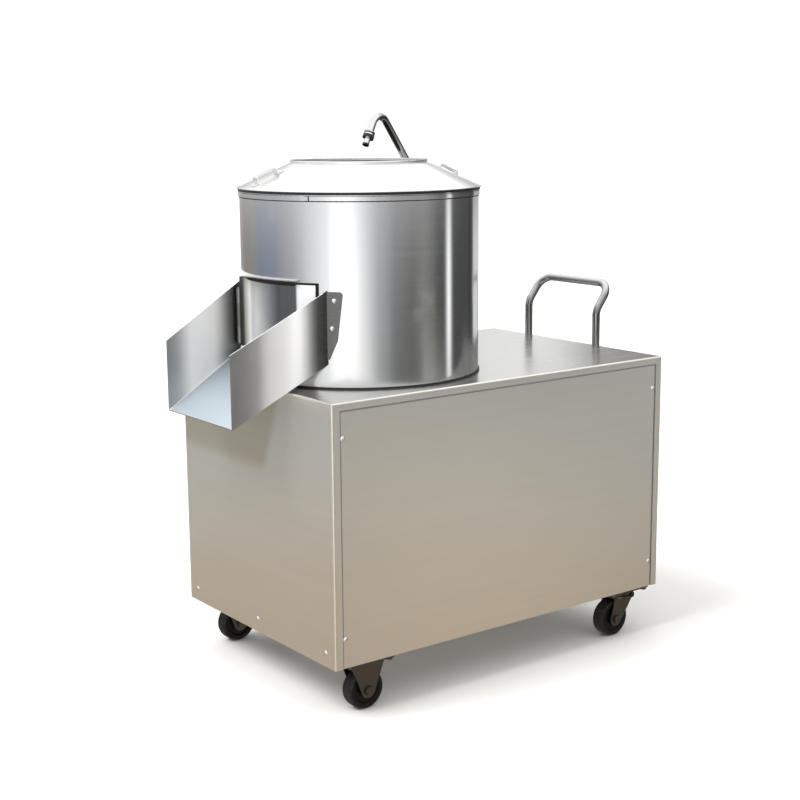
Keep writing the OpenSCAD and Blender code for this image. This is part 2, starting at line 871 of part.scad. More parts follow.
module motor_frame() {
    color("steelblue") at_motor(frame_low) difference() {
        union() {
            linear_extrude(motor_l) {
                circle(motor_r - fin_h);
                for (i = [0:fin_count - 1]) rotate([0, 0, i * 360 / fin_count])
                    translate([motor_r - fin_h - 2, -fin_t / 2]) square([fin_h + 2, fin_t]);
            }
            translate([-box_pad / 2, 0, (motor_l - box_pad) / 2])
                cube([box_pad, motor_r, box_pad]);
        }
        translate([0, 0, -cut]) cylinder(r = motor_shaft_d / 2 + run_fit, h = motor_l + 2 * cut);
    }
}

module motor_shields() {
    bore = motor_shaft_d / 2 + run_fit;
    top = motor_plate_top - motor_plate_t;
    color("steelblue") at_motor() {
        difference() {
            rotate_extrude() polygon([
                [bore, frame_high], [shield_r, frame_high], [shield_r, frame_high + shield_edge],
                [spigot_r, top - motor_flange_t], [motor_flange_r, top - motor_flange_t],
                [motor_flange_r, top], [spigot_r, top], [spigot_r, top + spigot_h],
                [bore, top + spigot_h]]);
            for (i = [0:3]) rotate([0, 0, 45 + 90 * i])
                translate([flange_bolt_r, 0, top - motor_flange_t - cut])
                    cylinder(r = bolt_r + hole_fit, h = motor_flange_t + 2 * cut);
        }
        rotate_extrude() polygon([
            [bore, end_shield_low], [end_shield_r, end_shield_low],
            [shield_r, end_shield_low + end_shield_edge], [shield_r, frame_low],
            [bore, frame_low]]);
    }
}

module motor_fan() {
    bore = motor_shaft_d / 2 + seat_fit;
    color("black") at_motor(fan_low) difference() {
        union() {
            cylinder(r = fan_hub_r, h = fan_h);
            translate([0, 0, fan_h - fan_disc_t]) cylinder(r = fan_r, h = fan_disc_t);
            for (i = [0:fan_blades - 1]) rotate([0, 0, i * 360 / fan_blades])
                translate([fan_hub_r - cut, -blade_t / 2, 0])
                    cube([fan_r - fan_hub_r, blade_t, fan_h - fan_disc_t / 2]);
        }
        translate([0, 0, -cut]) cylinder(r = bore, h = fan_h + 2 * cut);
    }
}

module fan_cowl() {
    outer = shield_r + move_gap + cowl_t;
    color("slategray") at_motor(cowl_low) difference() {
        cylinder(r = outer, h = cowl_high - cowl_low);
        translate([0, 0, cowl_t]) cylinder(r = outer - cowl_t, h = cowl_high - cowl_low);
        for (i = [0:cowl_slots - 1]) rotate([0, 0, i * 360 / cowl_slots])
            translate([cowl_slot_r, -cowl_slot[1] / 2, -cut])
                cube([cowl_slot[0], cowl_slot[1], cowl_t + 2 * cut]);
    }
}

module terminal_box() {
    color("slategray")
        at_motor(frame_low + motor_l / 2 - terminal_h / 2)
            translate([-terminal_l / 2, motor_r, 0]) cube([terminal_l, terminal_d, terminal_h]);
}

module motor_plate() {
    color("gray") at_motor(motor_plate_top - motor_plate_t) difference() {
        translate([-pillar_x - plate_edge, -pillar_y - plate_edge, 0])
            cube([2 * (pillar_x + plate_edge), 2 * (pillar_y + plate_edge), motor_plate_t]);
        translate([0, 0, -cut]) cylinder(r = spigot_r + move_gap, h = motor_plate_t + 2 * cut);
        for (sx = [-1, 1], sy = [-1, 1]) translate([sx * pillar_x, sy * pillar_y, -cut])
            linear_extrude(motor_plate_t + 2 * cut)
                for (s = [-1, 0, 1]) if (s == 0)
                    square([motor_slot_l - 2 * bolt_r, 2 * (bolt_r + hole_fit)], center = true);
                else
                    translate([s * (motor_slot_l / 2 - bolt_r), 0]) circle(bolt_r + hole_fit);
        for (i = [0:3]) rotate([0, 0, 45 + 90 * i]) translate([flange_bolt_r, 0, -cut])
            cylinder(r = bolt_r + hole_fit, h = motor_plate_t + 2 * cut);
    }
}

module motor_pillars() {
    low = frame_z0 + angle_t + rail_t - deck_z;
    high = motor_plate_top - motor_plate_t;
    color("gray") for (sx = [-1, 1], sy = [-1, 1])
        at_motor(low) translate([sx * pillar_x, sy * pillar_y, 0]) difference() {
            cylinder(r = pillar_r, h = high - low);
            translate([0, 0, high - low - tapped_l])
                cylinder(r = bolt_r + hole_fit, h = tapped_l + cut);
        }
}

module drive_bolts() {
    color("whitesmoke") {
        at_drum(bridge_top - bridge_t - housing_flange_t) each_housing_bolt()
            rotate([180, 0, 0])
                hex_bolt(bolt_af, bolt_head_h, bolt_r, housing_flange_t + bridge_t - 1);
        at_motor(motor_plate_top) {
            for (i = [0:3]) rotate([0, 0, 45 + 90 * i]) translate([flange_bolt_r, 0, 0])
                hex_bolt(bolt_af, bolt_head_h, bolt_r, motor_plate_t + motor_flange_t);
            for (sx = [-1, 1], sy = [-1, 1]) translate([sx * pillar_x, sy * pillar_y, 0])
                hex_bolt(bolt_af, bolt_head_h, bolt_r, motor_plate_t + tapped_l - 2);
        }
    }
}

// ---- drum ----

// what the doorway takes out of a wall between two radii
module doorway_cut(r_out, r_in, a0, a1) {
    translate([0, 0, sill_h]) arc_ring(r_out, r_in, door_open_h, a0, a1);
}

module drum_shell() {
    color("silver") at_drum() difference() {
        ring(drum_r, drum_in, drum_h);
        doorway_cut(drum_r + cut, drum_in - cut, doorway_a0, doorway_a1);
        each_chute_screw() screw_bore();
    }
}

module rim_band() {
    color("gainsboro") at_drum(drum_h - band_drop - band_h) difference() {
        rotate_extrude() translate([drum_r, 0]) {
            translate([0, bead_r]) square([band_proud, band_h - 2 * bead_r]);
            square([band_proud - bead_r, band_h]);
            for (z = [bead_r, band_h - bead_r]) translate([band_proud - bead_r, z]) circle(bead_r);
        }
        rotate([0, 0, notch_a]) translate([drum_r + band_proud / 2, -notch_w / 2, -cut])
            cube([band_proud, notch_w, band_h + 2 * cut]);
    }
}

module wall_lining() {
    color("gray") at_drum() difference() {
        translate([0, 0, floor_t]) ring(drum_in, liner_r, liner_top - floor_t);
        doorway_cut(drum_in + cut, liner_r - cut, doorway_a0 - 0.5, doorway_a1 + latch_room_a);
        each_chute_screw() screw_bore();
    }
}

module drum_floor() {
    color("silver") at_drum() difference() {
        union() {
            cylinder(r = drum_in, h = floor_t);
            cylinder(r = neck_r + move_gap + dam_t, h = dam_h);
        }
        translate([0, 0, -cut]) cylinder(r = neck_r + move_gap, h = dam_h + 2 * cut);
        translate([waste_x - drum_x, waste_y, -cut])
            cylinder(r = waste_r - waste_wall, h = floor_t + 2 * cut);
    }
}

module door_surround() {
    color("whitesmoke") at_drum() {
        translate([0, 0, doorway_top + 1])
            arc_ring(drum_r + hood_proud, drum_r, hood_t, doorway_a0 - 1, hood_a1);
        translate([0, 0, sill_h - sill_drop])
            arc_ring(drum_r + sill_proud, drum_r, sill_t, doorway_a0 - 1, doorway_a1 + 1);
    }
}

module at_hinge(h = 0) {
    rotate([0, 0, hinge_a]) translate([hinge_r, 0, h]) children();
}

module discharge_door() {
    barrel_low = knuckle_z[0] + knuckle_l + move_gap;
    barrel_h = knuckle_z[1] - move_gap - barrel_low;
    color("lightslategray") at_drum() difference() {
        union() {
            translate([0, 0, door_z]) {
                arc_ring(door_r, door_r - door_t, door_h, door_a0, post_a0 + 0.5);
                arc_ring(drum_r, door_r - door_t, door_h, post_a0, post_a0 + 0.5);
                arc_ring(drum_r, drum_r - door_t, door_h + post_top, post_a0, post_a1);
            }
            at_hinge(barrel_low) cylinder(r = knuckle_d / 2, h = barrel_h);
            difference() {
                intersection() {
                    translate([hinge_x - leaf_t / 2, hinge_y - leaf_l, door_z])
                        cube([leaf_t, leaf_l, door_h]);
                    ring(hinge_r + leaf_t, door_r - door_t / 2, drum_h);
                }
                for (z = [barrel_low - drum_h, barrel_low + barrel_h])
                    at_hinge(z) cylinder(r = knuckle_d / 2 + move_gap, h = drum_h);
            }
        }
        at_hinge() cylinder(r = hinge_pin_d / 2 + run_fit, h = drum_h);
        rotate([0, 0, latch_a]) translate([0, 0, latch_z]) rotate([0, 90, 0])
            cylinder(r = latch_shaft_r + run_fit, h = drum_r + cut);
    }
}

module hinge_knuckles() {
    color("silver") at_drum() for (z = knuckle_z) translate([0, 0, z]) difference() {
        union() {
            at_hinge() cylinder(r = knuckle_d / 2, h = knuckle_l);
            arc_ring(drum_r + leaf_t, drum_r, knuckle_l, hinge_a - leaf_a, hinge_a - 0.9);
        }
        at_hinge(-cut) cylinder(r = hinge_pin_d / 2 + run_fit, h = knuckle_l + 2 * cut);
    }
}

module hinge_pin() {
    low = knuckle_z[0] - 2;
    high = knuckle_z[1] + knuckle_l;
    color("whitesmoke") at_drum(low) at_hinge() {
        cylinder(r = hinge_pin_d / 2, h = high - low + 2);
        cylinder(r = hinge_pin_d / 2 + 1.5, h = 2);
        translate([0, 0, high - low]) cylinder(r = hinge_pin_d / 2 + 1.5, h = 2);
    }
}

// shaft along +X from the drum axis, arm hanging down at rest
module door_latch() {
    arm_in = latch_in - latch_arm_t;
    color("dimgray") at_drum(latch_z) rotate([0, 0, latch_a]) {
        translate([arm_in, 0, 0]) rotate([0, 90, 0])
            cylinder(r = latch_shaft_r, h = drum_r + latch_cap_h - arm_in);
        translate([arm_in, -latch_arm_w / 2, -latch_arm])
            cube([latch_arm_t, latch_arm_w, latch_arm + latch_arm_w / 2]);
        translate([drum_r + move_gap, 0, 0]) rotate([0, 90, 0])
            cylinder(r = latch_cap_r, h = latch_cap_h);
        translate([drum_r + latch_cap_h, -latch_grip[1] / 2, -latch_grip[2] / 2]) cube(latch_grip);
    }
}

// ---- chute ----

chute_in = [drum_r * cos(180 - chute_half_a), drum_r * sin(180 - chute_half_a)];
chute_out = [-drum_inset - chute_reach, chute_lip_w / 2];
chute_rate = chute_fall / (chute_in[0] - chute_out[0]);
chute_side = (chute_in[1] - chute_out[1]) / (chute_in[0] - chute_out[0]);
function chute_floor(x) = chute_root_h + (x - chute_in[0]) * chute_rate;

module chute_block(wall, low, high) {
    x0 = chute_out[0] - (wall > 0 ? cut : 0);
    x1 = chute_in[0] + 12;
    y0 = chute_out[1] + (x0 - chute_out[0]) * chute_side - wall;
    y1 = chute_in[1] + (x1 - chute_in[0]) * chute_side - wall;
    intersection() {
        across(2 * box_w) polygon([
            [x0, chute_floor(x0) + low], [x1, chute_floor(x1) + low],
            [x1, chute_floor(x1) + high], [x0, chute_floor(x0) + high]]);
        translate([0, 0, -box_h]) linear_extrude(2 * box_h)
            polygon([[x0, -y0], [x1, -y1], [x1, y1], [x0, y0]]);
    }
}

// tab against the drum, its plan angle measured away from the trough
module chute_tab() {
    w = drum_r * tab_a * PI / 180;
    top = chute_root_h + chute_wall_h - 2;
    corner = 6;
    rotate([0, 0, 180 + chute_half_a]) intersection() {
        arc_ring(drum_r + chute_t, drum_r, drum_h, -1, tab_a + 2);
        rotate([90, 0, 90]) linear_extrude(drum_d) difference() {
            union() {
                polygon([[-1, top], [w - corner, top], [w, top - corner], [w * 0.64, top * 0.5],
                         [w * 0.1, chute_root_h + 6], [-1, chute_root_h + 6]]);
                translate([w - corner, top - corner]) circle(corner);
            }
        }
    }
}

module each_chute_screw() {
    for (s = [0, 1], p = [[2.9, 0.64], [1.7, 0.26]])
        mirror([0, s, 0]) rotate([0, 0, 180 + chute_half_a + p[0]])
            translate([drum_r + chute_t, 0, chute_root_h + chute_wall_h * p[1] + 25])
                rotate([0, 90, 0]) children();
}

module screw_bore() {
    translate([0, 0, -2 * liner_t - chute_t]) cylinder(r = 2 + hole_fit, h = 4 * liner_t);
}

module discharge_chute() {
    floor_v = chute_t * sqrt(1 + chute_rate * chute_rate);
    color("lightgray") at_drum() difference() {
        union() {
            difference() {
                chute_block(0, -floor_v, chute_wall_h);
                chute_block(chute_t, 0, 2 * chute_wall_h);
            }
            chute_tab();
            mirror([0, 1, 0]) chute_tab();
        }
        translate([0, 0, -cut - drum_h / 2]) cylinder(r = drum_r, h = 2 * drum_h);
        each_chute_screw() screw_bore();
    }
}

module chute_screws() {
    color("white") at_drum() each_chute_screw() pan_screw(4, 2.2, 2, chute_t + sheet_t + 2);
}

// ---- splash cover and water ----

module splash_cover() {
    t = sheet_t;
    color("whitesmoke") at_drum() rotate_extrude() {
        polygon([
            [locate_r - t, cover_z - locate_h], [locate_r, cover_z - locate_h],
            [locate_r, cover_z], [cover_edge_r, cover_z], [cover_edge_r, cover_z + t],
            [cover_edge_r - 2, cover_z + t], [feed_r, cover_top], [feed_r, cover_top + collar_h],
            [feed_r - t, cover_top + collar_h], [feed_r - t, cover_top - t / 2],
            [locate_r - t, cover_z + t / 2]]);
        translate([cover_edge_r, cover_z + t / 2]) circle(t / 2);
        translate([feed_r, cover_top + collar_h]) circle(collar_roll);
    }
}

module strap_outline() {
    leg = strap_l / 2 - strap_foot + strap_t / 2;
    bend = leg - strap_corner + strap_t / 2;
    for (s = [-1, 1]) {
        translate([s * (strap_l - strap_foot) / 2 - strap_foot / 2, 0]) square([strap_foot, strap_t]);
        translate([s * leg - strap_t / 2, 0]) square([strap_t, strap_h - strap_corner]);
        translate([s * bend, strap_h - strap_corner]) intersection() {
            difference() {
                circle(strap_corner);
                circle(strap_corner - strap_t);
            }
            translate([s > 0 ? 0 : -strap_corner, 0]) square(strap_corner);
        }
    }
    translate([-bend, strap_h - strap_t]) square([2 * bend, strap_t]);
}

module cover_straps() {
    mid_r = (cover_edge_r + feed_r) / 2 + strap_low;
    mid_z = cover_z + sheet_t + (cover_edge_r - 2 - mid_r) * tan(cone_a);
    color("silver") for (a = strap_a) at_drum() rotate([0, 0, a])
        translate([mid_r, 0, mid_z]) rotate([0, cone_a, 0]) translate([0, 0, hole_fit])
            across(strap_w) strap_outline();
}

// pipe corners in the upright plane through the drum axis, as [radius, height]
past_bead = pipe_d / 2 + collar_roll + pipe_over;
rise_z = cover_top + collar_h + past_bead / cos(pipe_rise);
lie_z = cover_top + pipe_lift / cos(cone_a);
foot_out = (rise_z - lie_z) / (tan(pipe_rise) - tan(cone_a));
turn_half = (pipe_rise + pipe_fall) / 2;
peak_z = pipe_top_h + pipe_bend * (tan(turn_half) * sin(pipe_rise) + cos(pipe_rise) - 1);
pipe_mouth = polar(pipe_back_r + pipe_out + cut, pipe_a, pipe_low);
pipe_start = polar(pipe_back_r + pipe_out, pipe_a, pipe_low);
pipe_elbow = polar(pipe_back_r, pipe_a, pipe_low);
pipe_knee = polar(pipe_back_r, pipe_a, lie_z - (pipe_back_r - feed_r) * tan(cone_a));
pipe_foot = polar(feed_r + foot_out, pipe_a, lie_z - foot_out * tan(cone_a));
pipe_peak = polar(feed_r - (peak_z - rise_z) / tan(pipe_rise), pipe_a, peak_z);
fall_dir = polar(-cos(pipe_fall), pipe_a, -sin(pipe_fall));
pipe_end = pipe_peak + fall_dir * (spout_l - nozzle_l - tip_l);

module water_pipe() {
    color("silver") at_drum() difference() {
        tube_run([pipe_start, pipe_elbow, pipe_knee, pipe_foot, pipe_peak, pipe_end], pipe_d / 2, pipe_bend);
        tube_run([pipe_mouth, pipe_elbow, pipe_knee, pipe_foot, pipe_peak,
                  pipe_end + cut * fall_dir], pipe_bore / 2, pipe_bend);
    }
}

module along_cone_pipe(d) {
    along(pipe_foot, pipe_knee - pipe_foot) translate([0, 0, d]) children();
}

module pipe_clips() {
    color("silver") for (d = clip_at) at_drum() difference() {
        along_cone_pipe(d) {
            cylinder(r = clip_r, h = clip_w);
            translate([0, -clip_r, 0]) cube([2 * clip_r, 2 * clip_r, clip_w]);
        }
        along_cone_pipe(d - cut) cylinder(r = pipe_d / 2 + seat_fit, h = clip_w + 2 * cut);
        rotate_extrude() polygon([[0, cover_z - drum_h / 4], [cover_edge_r + 9, cover_z - drum_h / 4],
            [cover_edge_r + 9, cover_z + sheet_t - 11 * tan(cone_a)],
            [feed_r, cover_top], [0, cover_top]]);
    }
}

module spout_nozzle() {
    r_in = pipe_bore / 2 - 1;
    color("gainsboro") at_drum() along(pipe_end, fall_dir) rotate_extrude() difference() {
        polygon([[r_in, 0], [nozzle_r - 1, 0], [nozzle_r, 1], [nozzle_r, nozzle_l - 1],
                 [nozzle_r - 1, nozzle_l], [tip_r, nozzle_l], [tip_r, nozzle_l + tip_l],
                 [r_in, nozzle_l + tip_l]]);
        for (d = [0.32, 0.68]) translate([nozzle_r, nozzle_l * d])
            square([2 * nozzle_groove, 1.2], center = true);
    }
}

module hose_tail() {
    color("goldenrod") at_drum() translate(pipe_start) rotate([0, 90, pipe_a]) difference() {
        union() {
            hex_prism(tail_hex, tail_hex_h);
            translate([0, 0, tail_hex_h]) cylinder(r = tail_r, h = tail_l);
        }
        translate([0, 0, -cut]) cylinder(r = pipe_bore / 2 - 1, h = tail_hex_h + tail_l + 2 * cut);
    }
}

// ---- peeling disc ----

module abrasive_disc() {
    slope = atan((wave_h - wave_low) / (disc_r - hub_clear_r));
    plate_low = sill_h - disc_t;
    color("darkgray") at_drum() difference() {
        union() {
            translate([0, 0, plate_low]) cylinder(r = disc_r, h = disc_t);
            translate([0, 0, spindle_step]) cylinder(r = hub_r, h = sill_h - spindle_step);
            translate([0, 0, skirt_low])
                ring(neck_r + skirt_gap + skirt_t, neck_r + skirt_gap, plate_low - skirt_low + 1);
            intersection() {
                translate([0, 0, plate_low]) cylinder(r = disc_r, h = disc_t + 2 * wave_h);
                for (i = [0:wave_count - 1]) rotate([0, 0, 90 + i * 360 / wave_count])
                    translate([0, 0, sill_h + wave_low - hub_clear_r * tan(slope) - wave_r / cos(slope)])
                        rotate([0, 90 - slope, 0]) cylinder(r = wave_r, h = disc_r + wave_r);
            }
        }
        translate([0, 0, sill_h]) cylinder(r = hub_clear_r, h = 3 * wave_h);
        translate([0, 0, skirt_low - cut]) cylinder(r = seat_r + seat_fit, h = sill_h);
        translate([0, 0, skirt_low - cut])
            cylinder(r = neck_r + skirt_gap, h = spindle_step - skirt_low + cut);
    }
}

module disc_nut() {
    color("silver") at_drum(sill_h) difference() {
        union() {
            cylinder(r = washer_r, h = washer_t);
            translate([0, 0, washer_t]) hex_prism(nut_af, nut_h);
            translate([0, 0, washer_t + nut_h]) intersection() {
                sphere(dome_r);
                cylinder(r = dome_r, h = dome_r);
            }
        }
        translate([0, 0, -cut]) cylinder(r = stud_r + seat_fit, h = washer_t + nut_h + cut);
    }
}

module waste_pipe() {
    low = box_z - waste_drop;
    color("gainsboro") translate([waste_x, waste_y, low]) difference() {
        union() {
            cylinder(r = waste_r - waste_step, h = waste_end_l + cut);
            translate([0, 0, waste_end_l]) cylinder(r = waste_r, h = deck_z - low - waste_end_l);
        }
        translate([0, 0, -cut]) cylinder(r = waste_r - waste_wall, h = deck_z - low + 2 * cut);
    }
}

// ---- controls ----

module each_button_axis() {
    for (s = [-1, 1]) translate([far_x, switch_y, switch_z + s * button_pitch / 2])
        rotate([0, 90, 0]) children();
}

module switch_plate() {
    color("silver") difference() {
        translate([far_x, switch_y, switch_z]) rotate([90, 0, 90])
            linear_extrude(switch_t) rounded_rect(switch_w, switch_h, switch_corner);
        each_button_axis() translate([0, 0, -cut])
            cylinder(r = button_r + run_fit, h = switch_t + 2 * cut);
    }
}

module button_at(s) {
    straight = button_in + switch_t + button_out - button_edge;
    translate([far_x - button_in, switch_y, switch_z + s * button_pitch / 2]) rotate([0, 90, 0]) {
        cylinder(r = button_r, h = straight);
        translate([0, 0, straight])
            cylinder(r1 = button_r, r2 = button_r - button_edge, h = button_edge);
    }
}

module start_button() {
    color("green") button_at(1);
}

module stop_button() {
    color("red") button_at(-1);
}

module contact_blocks() {
    color("dimgray") each_button_axis() difference() {
        translate([-block_w / 2, -block_w / 2, -block_d]) cube([block_w, block_w, block_d]);
        translate([0, 0, -button_in - button_travel - 1])
            cylinder(r = button_r + move_gap, h = block_d);
    }
}

module cable_gland() {
    color("dimgray") translate([far_x, gland_y, gland_z]) rotate([0, 90, 0]) difference() {
        union() {
            hex_prism(gland_hex, gland_hex_h);
            translate([0, 0, gland_hex_h]) cylinder(r = gland_hex / 2 - 1, h = gland_cap_h);
            translate([0, 0, gland_hex_h + gland_cap_h])
                cylinder(r1 = gland_hex / 2 - 1, r2 = gland_bore / 2 + 2, h = gland_cone_h);
            translate([0, 0, -gland_thread_l]) cylinder(r = gland_thread_r, h = gland_thread_l);
            translate([0, 0, -sheet_t - gland_nut_h]) hex_prism(gland_hex, gland_nut_h);
        }
        cylinder(r = gland_bore / 2, h = 4 * gland_thread_l, center = true);
    }
}

module push_handle() {
    foot_x = far_x - handle_foot_in;
    bar_x = far_x + handle_reach - handle_r;
    near_y = handle_y - handle_w / 2;
    far_y = handle_y + handle_w / 2;
    color("silver") tube_run([
        [foot_x, near_y, deck_z], [foot_x, near_y, deck_z + handle_knee],
        [bar_x, near_y, deck_z + handle_h], [bar_x, far_y, deck_z + handle_h],
        [foot_x, far_y, deck_z + handle_knee], [foot_x, far_y, deck_z]], handle_r, handle_corner);
}

// ---- castors ----

module each_castor_bolt() {
    for (x = [fixed_x, swivel_x], s = [-1, 1], bx = [-1, 1], by = [-1, 1])
        translate([x + bx * castor_bolt_x, s * castor_y + by * castor_bolt_y, plate_z]) children();
}

module castor_plate() {
    translate([0, 0, plate_z]) linear_extrude(castor_plate_t) rounded_rect(plate_l, plate_w, 6);
}

// leg outline: straight flanks from the top edge, tangent to the boss round the axle
module leg_outline(w, drop, lead) {
    function touch(s) = let (
        p = [s * w / 2 + lead, drop],
        a = atan2(p[1], p[0]),
        b = acos(boss_r / norm(p)))
        boss_r * [cos(a - s * b), sin(a - s * b)];
    polygon([[lead - w / 2, drop], [lead + w / 2, drop], touch(1), [0, 0], touch(-1)]);
    circle(boss_r);
}

module fork_legs(w, top, lead) {
    for (s = [-1, 1]) translate([0, s * (fork_y + fork_t / 2), axle_z])
        across(fork_t) leg_outline(w, top - axle_z, lead);
}

module axle_hole() {
    translate([0, 0, axle_z]) rotate([90, 0, 0])
        cylinder(r = axle_r + hole_fit, h = 2 * plate_w, center = true);
}

module castor_axle() {
    half = fork_y + fork_t;
    translate([0, 0, axle_z]) rotate([90, 0, 0]) {
        cylinder(r = axle_r, h = 2 * half + 2 * axle_nut_h, center = true);
        for (s = [0, 1]) mirror([0, 0, s]) translate([0, 0, half]) hex_prism(axle_nut_af, axle_nut_h);
    }
}

module fixed_forks() {
    color("slategray") for (s = [-1, 1]) translate([fixed_x, s * castor_y, 0]) {
        difference() {
            union() {
                castor_plate();
                fork_legs(fixed_leg_w, plate_z, 0);
            }
            axle_hole();
            castor_bolt_holes();
        }
        castor_axle();
    }
}

module castor_bolt_holes() {
    for (bx = [-1, 1], by = [-1, 1]) translate([bx * castor_bolt_x, by * castor_bolt_y, plate_z - cut])
        cylinder(r = castor_bolt_r + hole_fit, h = castor_plate_t + 2 * cut);
}

module swivel_plates() {
    color("slategray") for (s = [-1, 1]) translate([swivel_x, s * castor_y, 0]) difference() {
        union() {
            castor_plate();
            translate([0, 0, plate_z - race_h]) cylinder(r = race_r, h = race_h);
        }
        castor_bolt_holes();
        translate([0, 0, plate_z - race_h - cut])
            cylinder(r = kingpin_r + run_fit, h = race_h + castor_plate_t + 2 * cut);
    }
}

module swivel_fork(s) {
    color("lightslategray") translate([swivel_x, s * castor_y, 0]) {
        difference() {
            union() {
                translate([0, 0, crown_z - crown_t]) cylinder(r = crown_r, h = crown_t);
                translate([0, 0, crown_z - crown_t / 2])
                    cylinder(r = kingpin_r, h = castor_h - crown_z + crown_t / 2);
                translate([-castor_trail, 0, 0])
                    fork_legs(swivel_leg_w, crown_z - crown_t / 2, fork_lead);
            }
            translate([-castor_trail, 0, 0]) axle_hole();
        }
        translate([-castor_trail, 0, 0]) castor_axle();
    }
}

module swivel_fork_near() {
    swivel_fork(-1);
}

module swivel_fork_far() {
    swivel_fork(1);
}

module wheel(x, s) {
    r = wheel_d / 2;
    half = wheel_w / 2;
    side = [
        [axle_r + run_fit, half + hub_out], [wheel_hub_r - 1, half + hub_out],
        [wheel_hub_r, half - web_in], [r - tyre_h - tyre_slope, half - web_in], [r - tyre_h, half],
        [r - shoulder_r, half], [r - tread_edge[0], half - tread_edge[1]], [r, half - shoulder_w]];
    color("black") translate([x, s * castor_y, axle_z]) rotate([90, 0, 0]) rotate_extrude()
        polygon(concat([for (q = side) [q[0], -q[1]]], [for (i = [len(side) - 1:-1:0]) side[i]]));
}

module wheel_fixed_near() {
    wheel(fixed_x, -1);
}

module wheel_fixed_far() {
    wheel(fixed_x, 1);
}

module wheel_swivel_near() {
    wheel(swivel_x - castor_trail, -1);
}

module wheel_swivel_far() {
    wheel(swivel_x - castor_trail, 1);
}

module castor_bolts() {
    color("whitesmoke") each_castor_bolt() rotate([180, 0, 0])
        hex_bolt(castor_bolt_af, castor_bolt_head, castor_bolt_r, castor_plate_t + base_t + angle_t);
}

cover_wrap();
side_panels();
base_plate();
base_frame();
corner_posts();
top_frame();
panel_screws();
end_screws();
bearing_bridge();
bearing_housing();
drive_bolts();
spindle_bearings();
shaft_seal();
spindle();
drum_pulley();
drive_belts();
motor_pulley();
motor_shaft();
motor_frame();
motor_shields();
motor_fan();
fan_cowl();
terminal_box();
motor_plate();
motor_pillars();
drum_shell();
rim_band();
wall_lining();
drum_floor();
door_surround();
discharge_door();
hinge_knuckles();
hinge_pin();
door_latch();
discharge_chute();
chute_screws();
splash_cover();
cover_straps();
water_pipe();
pipe_clips();
spout_nozzle();
hose_tail();
abrasive_disc();
disc_nut();
waste_pipe();
switch_plate();
start_button();
stop_button();
contact_blocks();
cable_gland();
push_handle();
swivel_plates();
castor_bolts();
fixed_forks();
swivel_fork_near();
swivel_fork_far();
wheel_fixed_near();
wheel_fixed_far();
wheel_swivel_near();
wheel_swivel_far();
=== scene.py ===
# Electric potato peeler: camera, studio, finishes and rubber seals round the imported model
import bpy
import bmesh
import math
from mathutils import Matrix, Vector


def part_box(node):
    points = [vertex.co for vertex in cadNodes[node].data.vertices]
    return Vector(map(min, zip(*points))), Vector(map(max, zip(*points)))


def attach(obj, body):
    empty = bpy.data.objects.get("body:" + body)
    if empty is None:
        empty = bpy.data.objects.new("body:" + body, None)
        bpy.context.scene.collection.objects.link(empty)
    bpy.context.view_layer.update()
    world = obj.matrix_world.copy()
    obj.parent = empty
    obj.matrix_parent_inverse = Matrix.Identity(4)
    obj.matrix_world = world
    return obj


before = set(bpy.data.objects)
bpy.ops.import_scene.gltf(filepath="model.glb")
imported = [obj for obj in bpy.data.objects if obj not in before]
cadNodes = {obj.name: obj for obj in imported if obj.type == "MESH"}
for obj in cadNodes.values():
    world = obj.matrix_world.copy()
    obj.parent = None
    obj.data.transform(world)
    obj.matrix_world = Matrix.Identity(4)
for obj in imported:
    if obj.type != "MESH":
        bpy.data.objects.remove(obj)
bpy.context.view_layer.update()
print("frame loaded:", len(cadNodes), "nodes")

# places that several pieces share, in metres; the drum stands on the deck of the box
drumLow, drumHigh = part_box("drum_shell")
machine = {"drumX": (drumLow.x + drumHigh.x) / 2, "drumR": drumHigh.y,
           "deckZ": drumLow.z, "drumTop": drumHigh.z}


class Wire:
    # one output socket, so that shader maths reads as plain Python
    def __init__(self, paint, socket):
        self.paint, self.socket = paint, socket

    def math(self, operation, a, b=0.0):
        return self.paint.node("Math", {"operation": operation}, {0: a, 1: b})

    def __add__(self, other):
        return self.math("ADD", self, other)

    def __sub__(self, other):
        return self.math("SUBTRACT", self, other)

    def __rsub__(self, other):
        return self.math("SUBTRACT", other, self)

    def __mul__(self, other):
        return self.math("MULTIPLY", self, other)

    def __truediv__(self, other):
        return self.math("DIVIDE", self, other)

    def __rtruediv__(self, other):
        return self.math("DIVIDE", other, self)

    def __gt__(self, other):
        return self.math("GREATER_THAN", self, other)

    def __lt__(self, other):
        return self.math("LESS_THAN", self, other)

    __radd__, __rmul__ = __add__, __mul__

    def ease(self, low, high):
        # smooth step from 0 to 1 between two values
        return self.paint.node("MapRange", {"interpolation_type": "SMOOTHSTEP"}, {0: self, 1: low, 2: high})


